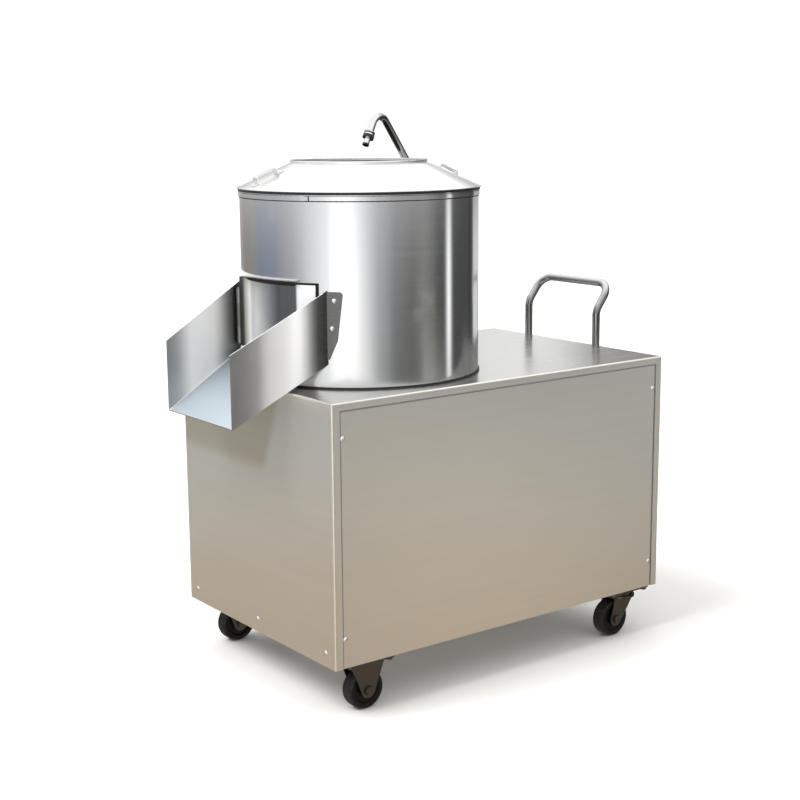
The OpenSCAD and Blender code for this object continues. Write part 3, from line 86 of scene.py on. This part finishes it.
class Paint:
    # a material with its Principled shader; constants go straight on the shader's own sockets
    def __init__(self, name, fixed):
        self.material = bpy.data.materials.new(name)
        self.material.use_nodes = True
        self.tree = self.material.node_tree
        self.shader = self.tree.nodes["Principled BSDF"]
        for socket, value in fixed.items():
            self.shader.inputs[socket].default_value = value

    def node(self, kind, settings=None, sockets=None, output=0):
        # any node: its settings go first, then a value or a wire for each socket
        made = self.tree.nodes.new("ShaderNode" + kind)
        for key, value in (settings or {}).items():
            if key == "stops":
                ramp = made.color_ramp
                while len(ramp.elements) < len(value):
                    ramp.elements.new(0.5)
                for stop, (place, colour) in zip(ramp.elements, value):
                    stop.position, stop.color = place, colour
            else:
                setattr(made, key, value)
        for key, value in (sockets or {}).items():
            if isinstance(value, Wire):
                self.tree.links.new(value.socket, made.inputs[key])
            else:
                made.inputs[key].default_value = value
        return Wire(self, made.outputs[output])

    def feed(self, socket, wire):
        self.tree.links.new(wire.socket, self.shader.inputs[socket])

    def place(self, axis):
        # 0, 1 or 2 for x, y or z of the machine's own frame
        return self.node("SeparateXYZ", {}, {0: self.node("TexCoord", output="Object")}, axis)

    def facing(self, axis):
        return self.node("SeparateXYZ", {}, {0: self.node("NewGeometry", output="Normal")}, axis)

    def streaks(self, scale, detail=3.0, roughness=0.55):
        # noise drawn out by scale, in turns per metre along each axis
        drawn = self.node("Mapping", {}, {"Vector": self.node("TexCoord", output="Object"), "Scale": scale})
        return self.node("TexNoise", {}, {"Vector": drawn, "Scale": 1.0, "Detail": detail,
                                          "Roughness": roughness})

    def ramp(self, wire, stops):
        # grey tones, or colours, along a value
        full = [(place, tone if isinstance(tone, tuple) else (tone, tone, tone, 1)) for place, tone in stops]
        return self.node("ValToRGB", {"stops": full}, {0: wire})

    def blend(self, amount, first, second, kind="MIX"):
        settings = {"data_type": "RGBA", "blend_type": kind}
        return self.node("Mix", settings, {0: amount, 6: first, 7: second}, 2)

    def relief(self, height, strength, depth):
        bump = self.node("Bump", {}, {"Height": height, "Strength": strength, "Distance": depth})
        self.feed("Normal", bump)

    def turnRound(self, centreX):
        # compass turn about an upright axis: 0 towards +X, 0.25 towards +Y, 0.5 towards -X
        angle = self.node("Math", {"operation": "ARCTAN2"}, {0: self.place(1), 1: self.place(0) - centreX})
        return self.node("Math", {"operation": "FRACT"}, {0: angle / (2 * math.pi) + 1.0})

    def distanceFrom(self, first, second, centreFirst, centreSecond):
        # distance in the plane of two axes
        a, b = self.place(first) - centreFirst, self.place(second) - centreSecond
        return self.node("Math", {"operation": "SQRT"}, {0: a * a + b * b})


def finish(paint, *names):
    for name in names:
        node = cadNodes[name]
        node.data.materials.clear()
        node.data.materials.append(paint.material)


def linkMesh(name, build):
    mesh = bpy.data.meshes.new(name)
    build.to_mesh(mesh)
    build.free()
    made = bpy.data.objects.new(name, mesh)
    bpy.context.collection.objects.link(made)
    return made


# angles in degrees, azimuth from +Y towards -X; lens and sensor in millimetres
camera = {"place": (-1.5016, -1.9900, 0.9172), "azimuth": -36.624, "down": 10.935, "roll": -0.4235,
          "lens": 65.93, "sensor": 36.0, "clipEnd": 200.0}


def placeCamera():
    data = bpy.data.cameras.new("camera")
    data.lens, data.sensor_width, data.clip_end = camera["lens"], camera["sensor"], camera["clipEnd"]
    seen = bpy.data.objects.new("camera", data)
    turn = (Matrix.Rotation(math.radians(camera["azimuth"]), 4, "Z")
            @ Matrix.Rotation(math.radians(90 - camera["down"]), 4, "X")
            @ Matrix.Rotation(math.radians(camera["roll"]), 4, "Z"))
    seen.matrix_world = Matrix.Translation(camera["place"]) @ turn
    bpy.context.collection.objects.link(seen)
    bpy.context.scene.camera = seen


placeCamera()
bpy.context.scene.view_settings.view_transform = "Standard"
print("camera placed")

# light from a soft sun, a dome and the sky; sun widths in degrees, radii and heights in metres
studio = {"sky": 0.45, "skyColour": (1, 1, 0.995, 1),
          "sunPower": 2.3, "sunWidth": 28.0, "sunFrom": (-1.25, 0.20, 1.7),
          "domePower": 2.1, "domeWidth": 105.0, "domeFrom": (0, 0, 1),
          "floor": (0.82, 0.81, 0.79, 1), "floorRough": 0.75, "floorRadius": 60.0, "floorSegments": 96,
          "backdrop": (1.03, 1.03, 1.0197, 1), "backdropRadius": 30.0, "backdropLow": -1.0,
          "backdropHigh": 20.0, "backdropSegments": 96}

# card wall and roof that only reflections see, in metres; lowSpan is the stretch of the low tone, and in each
# of the other pairs of heights one tone gives way to the next
room = {"radius": 3.4, "low": -1.6, "high": 4.0, "wallSegments": 128, "roofSegments": 64,
        "roof": (1.36, 1.36, 1.35, 1), "lowSpan": (-1.2, -0.1), "lowToMiddle": (-0.22, 0.02),
        "middleToHigh": (0.35, 1.0), "highToRoof": (1.8, 2.5)}

# middle of the wall by compass turn, which the drum mirrors
middleTone = [
    (0.004, (0.055, 0.055, 0.054, 1)), (0.026, (0.08, 0.08, 0.08, 1)), (0.040, (0.85, 0.85, 0.85, 1)),
    (0.148, (0.56, 0.57, 0.58, 1)), (0.210, (0.40, 0.40, 0.39, 1)), (0.266, (0.30, 0.28, 0.25, 1)),
    (0.316, (0.29, 0.28, 0.265, 1)), (0.355, (0.20, 0.24, 0.32, 1)), (0.418, (0.20, 0.24, 0.32, 1)),
    (0.446, (0.32, 0.33, 0.36, 1)), (0.472, (0.40, 0.42, 0.45, 1)), (0.497, (0.60, 0.61, 0.65, 1)),
    (0.521, (0.88, 0.89, 0.92, 1)), (0.544, (1.08, 1.09, 1.11, 1)), (0.566, (1.35, 1.35, 1.36, 1)),
    (0.589, (1.90, 1.90, 1.90, 1)), (0.632, (1.90, 1.90, 1.90, 1)), (0.654, (1.30, 1.30, 1.31, 1)),
    (0.675, (0.86, 0.87, 0.88, 1)), (0.697, (0.52, 0.53, 0.54, 1)), (0.719, (0.38, 0.39, 0.40, 1)),
    (0.741, (0.21, 0.21, 0.21, 1)), (0.787, (0.11, 0.11, 0.10, 1)), (0.822, (0.20, 0.205, 0.185, 1)),
    (0.846, (0.15, 0.15, 0.145, 1)), (0.868, (0.06, 0.06, 0.06, 1)), (0.892, (0.07, 0.07, 0.07, 1)),
    (0.906, (1.95, 1.95, 1.95, 1)), (0.920, (0.09, 0.09, 0.09, 1)), (0.950, (0.08, 0.08, 0.08, 1))]

# the same higher up, which the deck mirrors
highTone = [
    (0.090, (0.10, 0.10, 0.105, 1)), (0.108, (0.22, 0.22, 0.225, 1)), (0.116, (0.98, 0.99, 1.01, 1)),
    (0.134, (0.86, 0.87, 0.89, 1)), (0.148, (0.45, 0.45, 0.45, 1)), (0.185, (0.60, 0.60, 0.60, 1)),
    (0.30, (0.9, 0.9, 0.9, 1)), (0.50, (1.1, 1.1, 1.1, 1)), (0.78, (0.8, 0.8, 0.8, 1)),
    (0.90, (0.30, 0.30, 0.30, 1)), (0.97, (0.14, 0.14, 0.14, 1))]

# below the floor line, from the bottom up: the floor isn't seen in reflections, and the box mirrors this
lowTone = [
    (0.0, (0.52, 0.33, 0.15, 1)), (0.32, (0.58, 0.41, 0.23, 1)), (0.55, (0.595, 0.58, 0.515, 1)),
    (0.80, (0.57, 0.57, 0.535, 1)), (1.0, (0.46, 0.46, 0.44, 1))]

# how strong the low tone is by compass turn
lowShare = [
    (0.0, 0.10), (0.24, 0.10), (0.30, 0.76), (0.40, 0.84), (0.50, 1.0), (0.585, 2.0), (0.665, 2.0),
    (0.70, 0.70), (0.745, 0.28), (0.81, 0.45), (0.828, 1.30), (0.850, 1.30), (0.885, 0.84),
    (0.903, 0.70), (0.918, 0.10)]

cardGlow = {"Roughness": 1.0, "Base Color": (0, 0, 0, 1), "Specular IOR Level": 0.0,
            "Emission Strength": 1.0}
cardRays = ("camera", "diffuse", "glossy", "shadow", "transmission", "volume_scatter")


def sunLight(name, place, width, power):
    data = bpy.data.lights.new(name, "SUN")
    data.energy, data.angle = power, math.radians(width)
    lamp = bpy.data.objects.new(name, data)
    lamp.rotation_euler = (-Vector(place)).to_track_quat("-Z", "Y").to_euler()
    lamp.visible_glossy = False
    bpy.context.collection.objects.link(lamp)


def roundCard(name, radius, place, segments):
    build = bmesh.new()
    bmesh.ops.create_circle(build, cap_ends=True, segments=segments, radius=radius)
    bmesh.ops.translate(build, verts=build.verts, vec=place)
    return linkMesh(name, build)


def roundWall(name, radius, low, high, segments):
    build = bmesh.new()
    bmesh.ops.create_circle(build, segments=segments, radius=radius)
    bmesh.ops.translate(build, verts=build.verts, vec=(machine["drumX"], 0, low))
    raised = bmesh.ops.extrude_edge_only(build, edges=build.edges[:])
    top = [v for v in raised["geom"] if isinstance(v, bmesh.types.BMVert)]
    bmesh.ops.translate(build, verts=top, vec=(0, 0, high - low))
    return linkMesh(name, build)


def stageCard(card, paint, ray):
    # a glowing card that one kind of ray sees
    card.data.materials.append(paint.material)
    for other in cardRays:
        setattr(card, "visible_" + other, other == ray)


def paintWall():
    # light and dark in turn, as a workshop shows in polished steel
    paint = Paint("card_wall", cardGlow)
    turn, height = paint.turnRound(machine["drumX"]), paint.place(2)
    lowest, highest = room["lowSpan"]
    low = paint.blend(1.0, paint.ramp((height - lowest) / (highest - lowest), lowTone),
                      paint.ramp(turn, lowShare), "MULTIPLY")
    lower = paint.blend(height.ease(*room["lowToMiddle"]), low, paint.ramp(turn, middleTone))
    upper = paint.blend(height.ease(*room["highToRoof"]), paint.ramp(turn, highTone), room["roof"])
    paint.feed("Emission Color", paint.blend(height.ease(*room["middleToHigh"]), lower, upper))
    return paint


def buildFloor():
    floor = roundCard("floor", studio["floorRadius"], (0, 0, 0), studio["floorSegments"])
    pale = Paint("pale floor", {"Roughness": studio["floorRough"], "Base Color": studio["floor"]})
    floor.data.materials.append(pale.material)
    floor.visible_glossy = False


def buildRoom():
    wall = roundWall("card_wall", room["radius"], room["low"], room["high"], room["wallSegments"])
    stageCard(wall, paintWall(), "glossy")
    roof = roundCard("card_roof", room["radius"], (machine["drumX"], 0, room["high"]), room["roofSegments"])
    stageCard(roof, Paint("card_roof", {**cardGlow, "Emission Color": room["roof"]}), "glossy")


def buildBackdrop():
    backdrop = roundWall("backdrop", studio["backdropRadius"], studio["backdropLow"], studio["backdropHigh"],
                         studio["backdropSegments"])
    stageCard(backdrop, Paint("backdrop", {**cardGlow, "Emission Color": studio["backdrop"]}), "camera")


def buildLight():
    world = bpy.context.scene.world or bpy.data.worlds.new("studio")
    bpy.context.scene.world = world
    world.use_nodes = True
    sky = world.node_tree.nodes["Background"]
    sky.inputs["Color"].default_value = studio["skyColour"]
    sky.inputs["Strength"].default_value = studio["sky"]
    sunLight("sun", studio["sunFrom"], studio["sunWidth"], studio["sunPower"])
    sunLight("dome", studio["domeFrom"], studio["domeWidth"], studio["domePower"])


buildFloor()
buildRoom()
buildBackdrop()
buildLight()
print("studio built")

# bump of the fine scratches on every brushed sheet, depth in metres
brushRelief = {"strength": 0.03, "depth": 0.0002}

# satin sheet of the box; grain and bands are turns per metre across the brushing, along is turns along it
sheetSteel = {"dark": (0.69, 0.68, 0.645, 1), "light": (0.81, 0.80, 0.765, 1), "rough": 0.30, "metal": 0.86,
              "deckRough": 0.21, "deckMetal": 0.97, "brushed": 0.2,
              "grain": 850.0, "bands": 110.0, "along": 1.8, "cloud": (2.6, 2.6, 2.6),
              "smudge": 0.03, "smudgeTurns": (7, 7, 22), "smudgeEdge": (0.48, 0.75),
              "shade": (0.80, 0.77, 0.69, 1), "shadeFrom": 0.352, "shadeTo": 0.384, "shadeSide": -0.085,
              "shadeSlant": 0.4, "shadeEdge": 0.012}


def shadeBelowChute(paint):
    # 1 where the short end is in the chute's shade, which has a level lower edge and a slanting near edge
    height = paint.place(2)
    side = paint.place(1) - (machine["deckZ"] - height) * sheetSteel["shadeSlant"]
    onEnd = paint.facing(0) < -0.5
    return (height.ease(sheetSteel["shadeFrom"], sheetSteel["shadeTo"]) * onEnd
            * side.ease(sheetSteel["shadeSide"] - sheetSteel["shadeEdge"],
                        sheetSteel["shadeSide"] + sheetSteel["shadeEdge"]))


def paintSheet():
    # brushed along the box, so the grain turns with the side that it is on
    paint = Paint("satin sheet", {"Anisotropic": sheetSteel["brushed"]})
    flat, along = paint.facing(2) > 0.5, sheetSteel["along"]
    layers = []
    for turns, detail in ((sheetSteel["grain"], 3), (sheetSteel["bands"], 4)):
        upright = paint.streaks((along, along, turns), detail)
        level = paint.streaks((along, turns, along), detail)
        layers.append(paint.node("Mix", {"data_type": "FLOAT"}, {0: flat, 2: upright, 3: level}))
    grain, bands = layers
    cloud = paint.streaks(sheetSteel["cloud"], 2)
    smudge = paint.streaks(sheetSteel["smudgeTurns"], 4, 0.6).ease(*sheetSteel["smudgeEdge"])
    steel = paint.blend(grain * 0.35 + bands * 0.45 + cloud * 0.2, sheetSteel["dark"], sheetSteel["light"])
    # the panel is too metallic to take a shadow from the lamps, so the chute's shade is in its colour
    shaded = paint.blend(1.0, steel, sheetSteel["shade"], "MULTIPLY")
    paint.feed("Base Color", paint.blend(shadeBelowChute(paint), steel, shaded))
    paint.feed("Metallic", flat * (sheetSteel["deckMetal"] - sheetSteel["metal"]) + sheetSteel["metal"])
    paint.feed("Roughness", grain * 0.08 + bands * 0.10 + smudge * sheetSteel["smudge"]
               + flat * (sheetSteel["deckRough"] - sheetSteel["rough"]) + (sheetSteel["rough"] - 0.05))
    paint.relief(grain + bands * 0.5, **brushRelief)
    return paint


finish(paintSheet(), "cover_wrap", "side_panels", "switch_plate", "base_plate")
print("box finished")

# polished sheet of the drum; joint and jointHalf are compass turns of the butt joint in the rim band
drumSteel = {"dark": (0.66, 0.665, 0.675, 1), "light": (0.75, 0.755, 0.765, 1), "rough": 0.10,
             "joint": 0.5885, "jointHalf": 0.0009, "jointTone": (0.03, 0.03, 0.03, 1)}
coverSteel = {"dark": (0.90, 0.90, 0.90, 1), "light": (0.97, 0.97, 0.965, 1), "rough": 0.30}

# brushing of the drum and the cover, in turns per metre, and how it draws out the shine
turnedBrush = {"grain": (4, 4, 1100), "cloud": (5, 5, 1.5), "smudgeTurns": (18, 18, 12),
               "smudgeEdge": (0.55, 0.75), "strength": 0.80, "rotation": 0.25}


def paintTurned(name, steel, mark=None):
    # brushed round the drum, so bright bands stay narrow from side to side
    paint = Paint(name, {"Metallic": 1.0, "Anisotropic": turnedBrush["strength"],
                         "Anisotropic Rotation": turnedBrush["rotation"]})
    grain, cloud = paint.streaks(turnedBrush["grain"], 4), paint.streaks(turnedBrush["cloud"], 2)
    smudge = paint.streaks(turnedBrush["smudgeTurns"], 4, 0.6).ease(*turnedBrush["smudgeEdge"])
    colour = paint.blend(grain * 0.4 + cloud * 0.25, steel["dark"], steel["light"])
    paint.feed("Base Color", mark(paint, colour) if mark else colour)
    paint.feed("Roughness", grain * 0.08 + cloud * 0.04 + smudge * 0.06 + steel["rough"])
    paint.relief(grain, **brushRelief)
    return paint


def bandJoint(paint, colour):
    # dark line where the two ends of the rim band meet
    off = paint.turnRound(machine["drumX"]) - drumSteel["joint"]
    return paint.blend(off * off < drumSteel["jointHalf"] ** 2, colour, drumSteel["jointTone"])


finish(paintTurned("drum steel", drumSteel), "drum_shell", "drum_floor")
finish(paintTurned("band steel", drumSteel, bandJoint), "rim_band")
finish(paintTurned("cover steel", coverSteel), "splash_cover", "cover_straps")
print("drum finished")

# what the thin polished sheets of the doorway share; scuffTurns is a share of the grain's turns
mirrorSheet = {"brushed": 0.3, "metalGain": 1.25, "grainTone": (0.62, 0.63, 0.65, 1), "grainShare": 0.16,
               "scuffTurns": 0.12, "scuffEdge": (0.56, 0.72)}


def paintMirror(name, tone, steel):
    # thin polished sheet whose tone is painted reflection and shade: metallic where its tone is dark, and
    # nearly plain where it is light
    paint = Paint(name, {"Anisotropic": mirrorSheet["brushed"]})
    shade = tone(paint)
    grain = paint.streaks(steel["grain"], 3)
    longer = tuple(mirrorSheet["scuffTurns"] * turns for turns in steel["grain"])
    scuff = paint.streaks(longer, 4, 0.65).ease(*mirrorSheet["scuffEdge"])
    paint.feed("Metallic", (1.0 - shade) * mirrorSheet["metalGain"])
    paint.feed("Base Color", paint.blend(grain * mirrorSheet["grainShare"], shade, mirrorSheet["grainTone"]))
    paint.feed("Roughness", grain * 0.10 + scuff * 0.07 + steel["rough"])
    paint.relief(grain + scuff * 0.5, **brushRelief)
    return paint


# painted reflection and shade by compass turn about the drum: pale beside the hinge, dark across, white on
# the latch plate
doorSteel = {"rough": 0.26, "grain": (600, 600, 6),
             "tones": [(0.414, 0.12), (0.422, (0.66, 0.64, 0.58, 1)), (0.445, (0.72, 0.71, 0.66, 1)),
                       (0.460, 0.86), (0.470, 0.60), (0.486, 0.62), (0.500, 0.52), (0.514, 0.40),
                       (0.528, 0.27), (0.535, 0.17), (0.542, 0.20), (0.556, 0.15), (0.5665, 0.16),
                       (0.5675, 0.88), (0.60, 0.92)]}


def doorTone(paint):
    return paint.ramp(paint.turnRound(machine["drumX"]), doorSteel["tones"])


# painted reflection and shade: the chute's walls by distance from the lip, as a share of its length, and its
# floor, with a painted highlight on the folds and painted dark reflection on the tabs; foldY is half the
# width of the floor at the lip, spread is what it gains along the chute, and the tabs lie within tabR of the
# axis
chuteSteel = {"rough": 0.28, "grain": (6, 500, 500), "lipX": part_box("discharge_chute")[0].x, "length": 0.16,
              "floor": (0.54, 0.62, 0.68, 1), "floorDeep": (0.36, 0.42, 0.46, 1), "deepAt": 0.9,
              "foldY": 0.0966, "spread": 0.0252, "fold": (0.92, 0.94, 0.95, 1),
              "tabR": 0.2008, "tab": (0.09, 0.09, 0.09, 1),
              "near": [(0.04, 0.35), (0.16, 0.40), (0.28, 0.50), (0.34, 0.66), (0.40, 0.76), (0.53, 0.84),
                       (0.59, 0.90), (0.65, 1.0), (0.71, 0.98), (0.775, 0.74), (0.84, 0.40), (0.90, 0.17),
                       (0.96, 0.09)],
              "far": [(0.02, 0.35), (0.10, 0.43), (0.15, 0.52), (0.22, 0.74), (0.29, 0.96), (0.39, 1.0),
                      (0.50, 1.0), (0.60, 0.96), (0.66, 0.80), (0.73, 0.52), (0.79, 0.36), (0.86, 0.24),
                      (0.94, 0.20)]}


def chuteTone(paint):
    along, across = (paint.place(0) - chuteSteel["lipX"]) / chuteSteel["length"], paint.place(1)
    near, far = paint.ramp(along, chuteSteel["near"]), paint.ramp(along, chuteSteel["far"])
    walls = paint.blend(across > 0.0, near, far)
    edge = along * chuteSteel["spread"] + chuteSteel["foldY"]
    floor = paint.blend(along.ease(0.0, chuteSteel["deepAt"]), chuteSteel["floor"], chuteSteel["floorDeep"])
    level = paint.blend(across * across > edge * edge, floor, chuteSteel["fold"])
    inner = paint.blend(paint.facing(2) > 0.6, walls, level)
    tab = paint.distanceFrom(0, 1, machine["drumX"], 0.0) < chuteSteel["tabR"]
    return paint.blend(tab, inner, chuteSteel["tab"])


# strips over and under the doorway, by height: painted light, and the upper one has a dark lip of painted
# shade that stands for the gap over the door;
# by compass turn they are painted pale all through up to paleTo, beside the hinge
hoodSteel = {"rough": 0.30, "grain": (400, 400, 6), "pale": (0.95, 0.95, 0.94, 1), "paleTo": 0.455,
             "darkFrom": 0.50,
             "tones": [(0.60, 0.85), (0.66, 0.03), (0.6692, 0.03), (0.6697, 0.70), (0.6707, 0.85)]}


def hoodTone(paint):
    turn = paint.turnRound(machine["drumX"])
    return paint.blend(turn.ease(hoodSteel["paleTo"], hoodSteel["darkFrom"]), hoodSteel["pale"],
                       paint.ramp(paint.place(2), hoodSteel["tones"]))


finish(paintMirror("door steel", doorTone, doorSteel), "discharge_door")
finish(paintMirror("chute steel", chuteTone, chuteSteel), "discharge_chute")
finish(paintMirror("hood steel", hoodTone, hoodSteel), "door_surround")
print("door and chute finished")

# faint mottling of the tubes, in turns per metre
tubeMottle = (60, 60, 60)


def paintTube(name, colour, rough):
    # smooth tube whose colour is worked out by a function
    paint = Paint(name, {"Metallic": 1.0})
    paint.feed("Base Color", colour(paint))
    paint.feed("Roughness", paint.streaks(tubeMottle, 3) * 0.08 + rough)
    return paint


# a painted highlight along the top of the tube; from and to say how far its surface faces up, with 1 for
# straight up
handleSteel = {"top": (0.62, 0.625, 0.63, 1), "plain": (0.27, 0.27, 0.27, 1), "rough": 0.08,
               "from": 0.35, "to": 0.85}


def handleColour(paint):
    up = paint.facing(2).ease(handleSteel["from"], handleSteel["to"])
    return paint.blend(up, handleSteel["plain"], handleSteel["top"])


# painted reflection by distance from the drum's axis, as a share of length: bright over the opening, then
# dark; angle is the way that the spout leads, in degrees from +X
pipeSteel = {"angle": 17.5, "length": 0.25, "rough": 0.10, "grime": (0.30, 0.31, 0.32, 1), "grimeShare": 0.12,
             "tones": [(0.12, 0.72), (0.195, 0.70), (0.235, 0.30), (0.30, 0.17), (0.38, 0.24), (0.44, 0.36),
                       (0.60, 0.42)]}


def pipeColour(paint):
    way = math.radians(pipeSteel["angle"])
    outward = (paint.place(0) - machine["drumX"]) * math.cos(way) + paint.place(1) * math.sin(way)
    tone = paint.ramp(outward / pipeSteel["length"], pipeSteel["tones"])
    return paint.blend(paint.streaks(tubeMottle, 3) * pipeSteel["grimeShare"], tone, pipeSteel["grime"])


finish(paintTube("handle steel", handleColour, handleSteel["rough"]), "push_handle")
finish(paintTube("spout steel", pipeColour, pipeSteel["rough"]), "water_pipe")


plainSpecks = {"darker": 0.82, "depth": 0.0005}


def paintPlain(name, colour, rough, metal=1.0, grain=300.0, cloud=25.0, relief=0.05):
    # one colour, a little darker in fine and broad specks
    paint = Paint(name, {"Metallic": metal})
    fine = paint.streaks((grain, grain, grain), 3)
    broad = paint.streaks((cloud, cloud, cloud), 2)
    darker = tuple(plainSpecks["darker"] * part for part in colour[:3]) + (1,)
    paint.feed("Base Color", paint.blend(fine * 0.5 + broad * 0.5, darker, colour))
    paint.feed("Roughness", fine * 0.10 + broad * 0.06 + (rough - 0.05))
    paint.relief(fine, relief, plainSpecks["depth"])
    return paint


# colour, roughness and metallic share of each plain finish, and the pieces that have it
plainFinishes = {
    "hinge steel": ((0.24, 0.24, 0.24, 1), 0.25, 1.0, "hinge_knuckles", "hinge_pin"),
    "pipe steel": ((0.62, 0.63, 0.64, 1), 0.18, 1.0, "waste_pipe", "pipe_clips"),
    "bright zinc": ((0.86, 0.86, 0.86, 1), 0.25, 1.0, "panel_screws", "end_screws", "chute_screws",
                    "drive_bolts", "disc_nut"),
    "frame paint": ((0.33, 0.34, 0.35, 1), 0.45, 0.0, "base_frame", "corner_posts", "top_frame",
                    "bearing_bridge", "motor_plate", "motor_pillars"),
    # castor forks, plates and bolts are much darker than zinc: painted shade from under the box
    "castor zinc painted shade": ((0.13, 0.128, 0.122, 1), 0.35, 1.0, "fixed_forks", "swivel_plates", "swivel_fork_near",
                    "swivel_fork_far", "castor_bolts"),
    "cast iron": ((0.16, 0.16, 0.17, 1), 0.5, 0.6, "bearing_housing", "drum_pulley", "motor_pulley"),
    "ground steel": ((0.66, 0.67, 0.69, 1), 0.2, 1.0, "spindle", "motor_shaft", "spindle_bearings"),
    "motor enamel": ((0.16, 0.24, 0.32, 1), 0.4, 0.0, "motor_frame", "motor_shields", "fan_cowl"),
    "black plastic": ((0.02, 0.02, 0.02, 1), 0.4, 0.0, "motor_fan", "cable_gland", "door_latch",
                      "terminal_box", "contact_blocks"),
    "belt rubber": ((0.015, 0.015, 0.015, 1), 0.5, 0.0, "drive_belts", "shaft_seal"),
    "brass": ((0.72, 0.56, 0.28, 1), 0.25, 1.0, "hose_tail"),
    "green button": ((0.02, 0.30, 0.06, 1), 0.25, 0.0, "start_button"),
    "red button": ((0.55, 0.02, 0.02, 1), 0.25, 0.0, "stop_button")}

for name, (colour, rough, metal, *pieces) in plainFinishes.items():
    finish(paintPlain(name, colour, rough, metal), *pieces)
finish(paintPlain("nozzle chrome", (0.72, 0.73, 0.74, 1), 0.10, relief=0.0), "spout_nozzle")
finish(paintPlain("grit", (0.2, 0.19, 0.18, 1), 0.8, metal=0.0, grain=900.0, cloud=60.0, relief=0.6),
       "abrasive_disc", "wall_lining")

# dust thickens on the tread from one radius to the other, in metres
tyreRubber = {"black": (0.005, 0.005, 0.005, 1), "dust": (0.045, 0.042, 0.037, 1), "dustShare": 0.6,
              "dustFrom": 0.0265, "dustTo": 0.0315, "patchTurns": (180, 180, 180), "patchEdge": (0.35, 0.65),
              "rough": 0.38, "sheen": 0.25, "relief": 0.15, "depth": 0.0005}


def paintTyre(name, wheel):
    paint = Paint(name, {"Specular IOR Level": tyreRubber["sheen"]})
    axle = (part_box(wheel)[0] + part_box(wheel)[1]) / 2
    radius = paint.distanceFrom(0, 2, axle.x, axle.z)
    patch = paint.streaks(tyreRubber["patchTurns"], 4, 0.7)
    dust = radius.ease(tyreRubber["dustFrom"], tyreRubber["dustTo"]) * patch.ease(*tyreRubber["patchEdge"])
    dusty = dust * tyreRubber["dustShare"]
    paint.feed("Base Color", paint.blend(dusty, tyreRubber["black"], tyreRubber["dust"]))
    paint.feed("Roughness", dust * 0.3 + patch * 0.1 + tyreRubber["rough"])
    paint.relief(patch, tyreRubber["relief"], tyreRubber["depth"])
    return paint


for kind in ("fixed", "swivel"):
    for side in ("near", "far"):
        wheel = "wheel_" + kind + "_" + side
        finish(paintTyre(kind + " tyre " + side, wheel), wheel)
print("small parts finished")

# rubber rings round the drum, in metres: how far each stands out from it and how high it is; the ring under
# the cover is a seal and also painted shade for the gap there, and the ring at the foot of the rim band is
# painted shade
sealRing = {"coverOut": 0.0023, "coverHeight": 0.0038, "baseOut": 0.0018, "baseHeight": 0.003,
            "shadeRingOut": 0.0009, "shadeRingHeight": 0.0011, "gap": 0.0001, "overlap": 0.0002, "segments": 160,
            "black": (0.010, 0.010, 0.010, 1), "rough": 0.45}

# rubber rings of the spout, each from, to, inner and outer radius, along the nozzle from the end of the pipe;
# the lowest one is painted shade that stands for the dark mouth
spoutRubber = {"start": (-0.07250, 0.00962, 0.89425), "down": (-0.4840, -0.1526, -0.8616), "segments": 48,
               "rings": [(0.0030, 0.0053, 0.0080, 0.0091), (0.0080, 0.0130, 0.0080, 0.0095),
                         (0.0232, 0.0262, 0.0036, 0.0056)]}


def spinRing(build, inner, outer, low, high, segments):
    # closed ring spun from a rectangle about z
    outline = ((inner, low), (outer, low), (outer, high), (inner, high))
    corners = [build.verts.new((r, 0, z)) for r, z in outline]
    edges = [build.edges.new((corners[i], corners[(i + 1) % 4])) for i in range(4)]
    bmesh.ops.spin(build, geom=edges + corners, cent=(0, 0, 0), axis=(0, 0, 1), angle=2 * math.pi,
                   steps=segments, use_merge=True)


def ringPiece(name, rings, place, segments, paint, body):
    build = bmesh.new()
    for low, high, inner, outer in rings:
        spinRing(build, inner, outer, low, high, segments)
    bmesh.ops.remove_doubles(build, verts=build.verts, dist=1e-6)
    bmesh.ops.recalc_face_normals(build, faces=build.faces)
    bmesh.ops.transform(build, matrix=place, verts=build.verts)
    made = linkMesh(name, build)
    made.data.materials.append(paint.material)
    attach(made, body)


def buildSeals():
    rubber = paintPlain("seal rubber and painted shade", sealRing["black"], sealRing["rough"], metal=0.0)
    atDrum, wall = Matrix.Translation((machine["drumX"], 0, 0)), machine["drumR"]
    top, deck, bandFoot = machine["drumTop"], machine["deckZ"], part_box("rim_band")[0].z
    clear, sunk = wall + sealRing["gap"], wall - sealRing["overlap"]
    # the black ring under the cover is a seal and also painted shade for the gap under the cover's edge
    rings = {"cover_seal_and_gap_shade": (top - sealRing["coverHeight"], top, clear, wall + sealRing["coverOut"]),
             "drum_base_seal": (deck, deck + sealRing["baseHeight"], sunk, wall + sealRing["baseOut"]),
             # a thin black ring at the foot of the rim band is painted shade under the band's lower edge
             "band_foot_shade_ring": (bandFoot - sealRing["shadeRingHeight"], bandFoot, sunk, wall + sealRing["shadeRingOut"])}
    for name, ring in rings.items():
        ringPiece(name, [ring], atDrum, sealRing["segments"], rubber, "housing")
    down = Vector(spoutRubber["down"]).to_track_quat("Z", "Y").to_matrix().to_4x4()
    ringPiece("spout_rings", spoutRubber["rings"], Matrix.Translation(spoutRubber["start"]) @ down,
              spoutRubber["segments"], rubber, "cover")


buildSeals()
print("seals made")
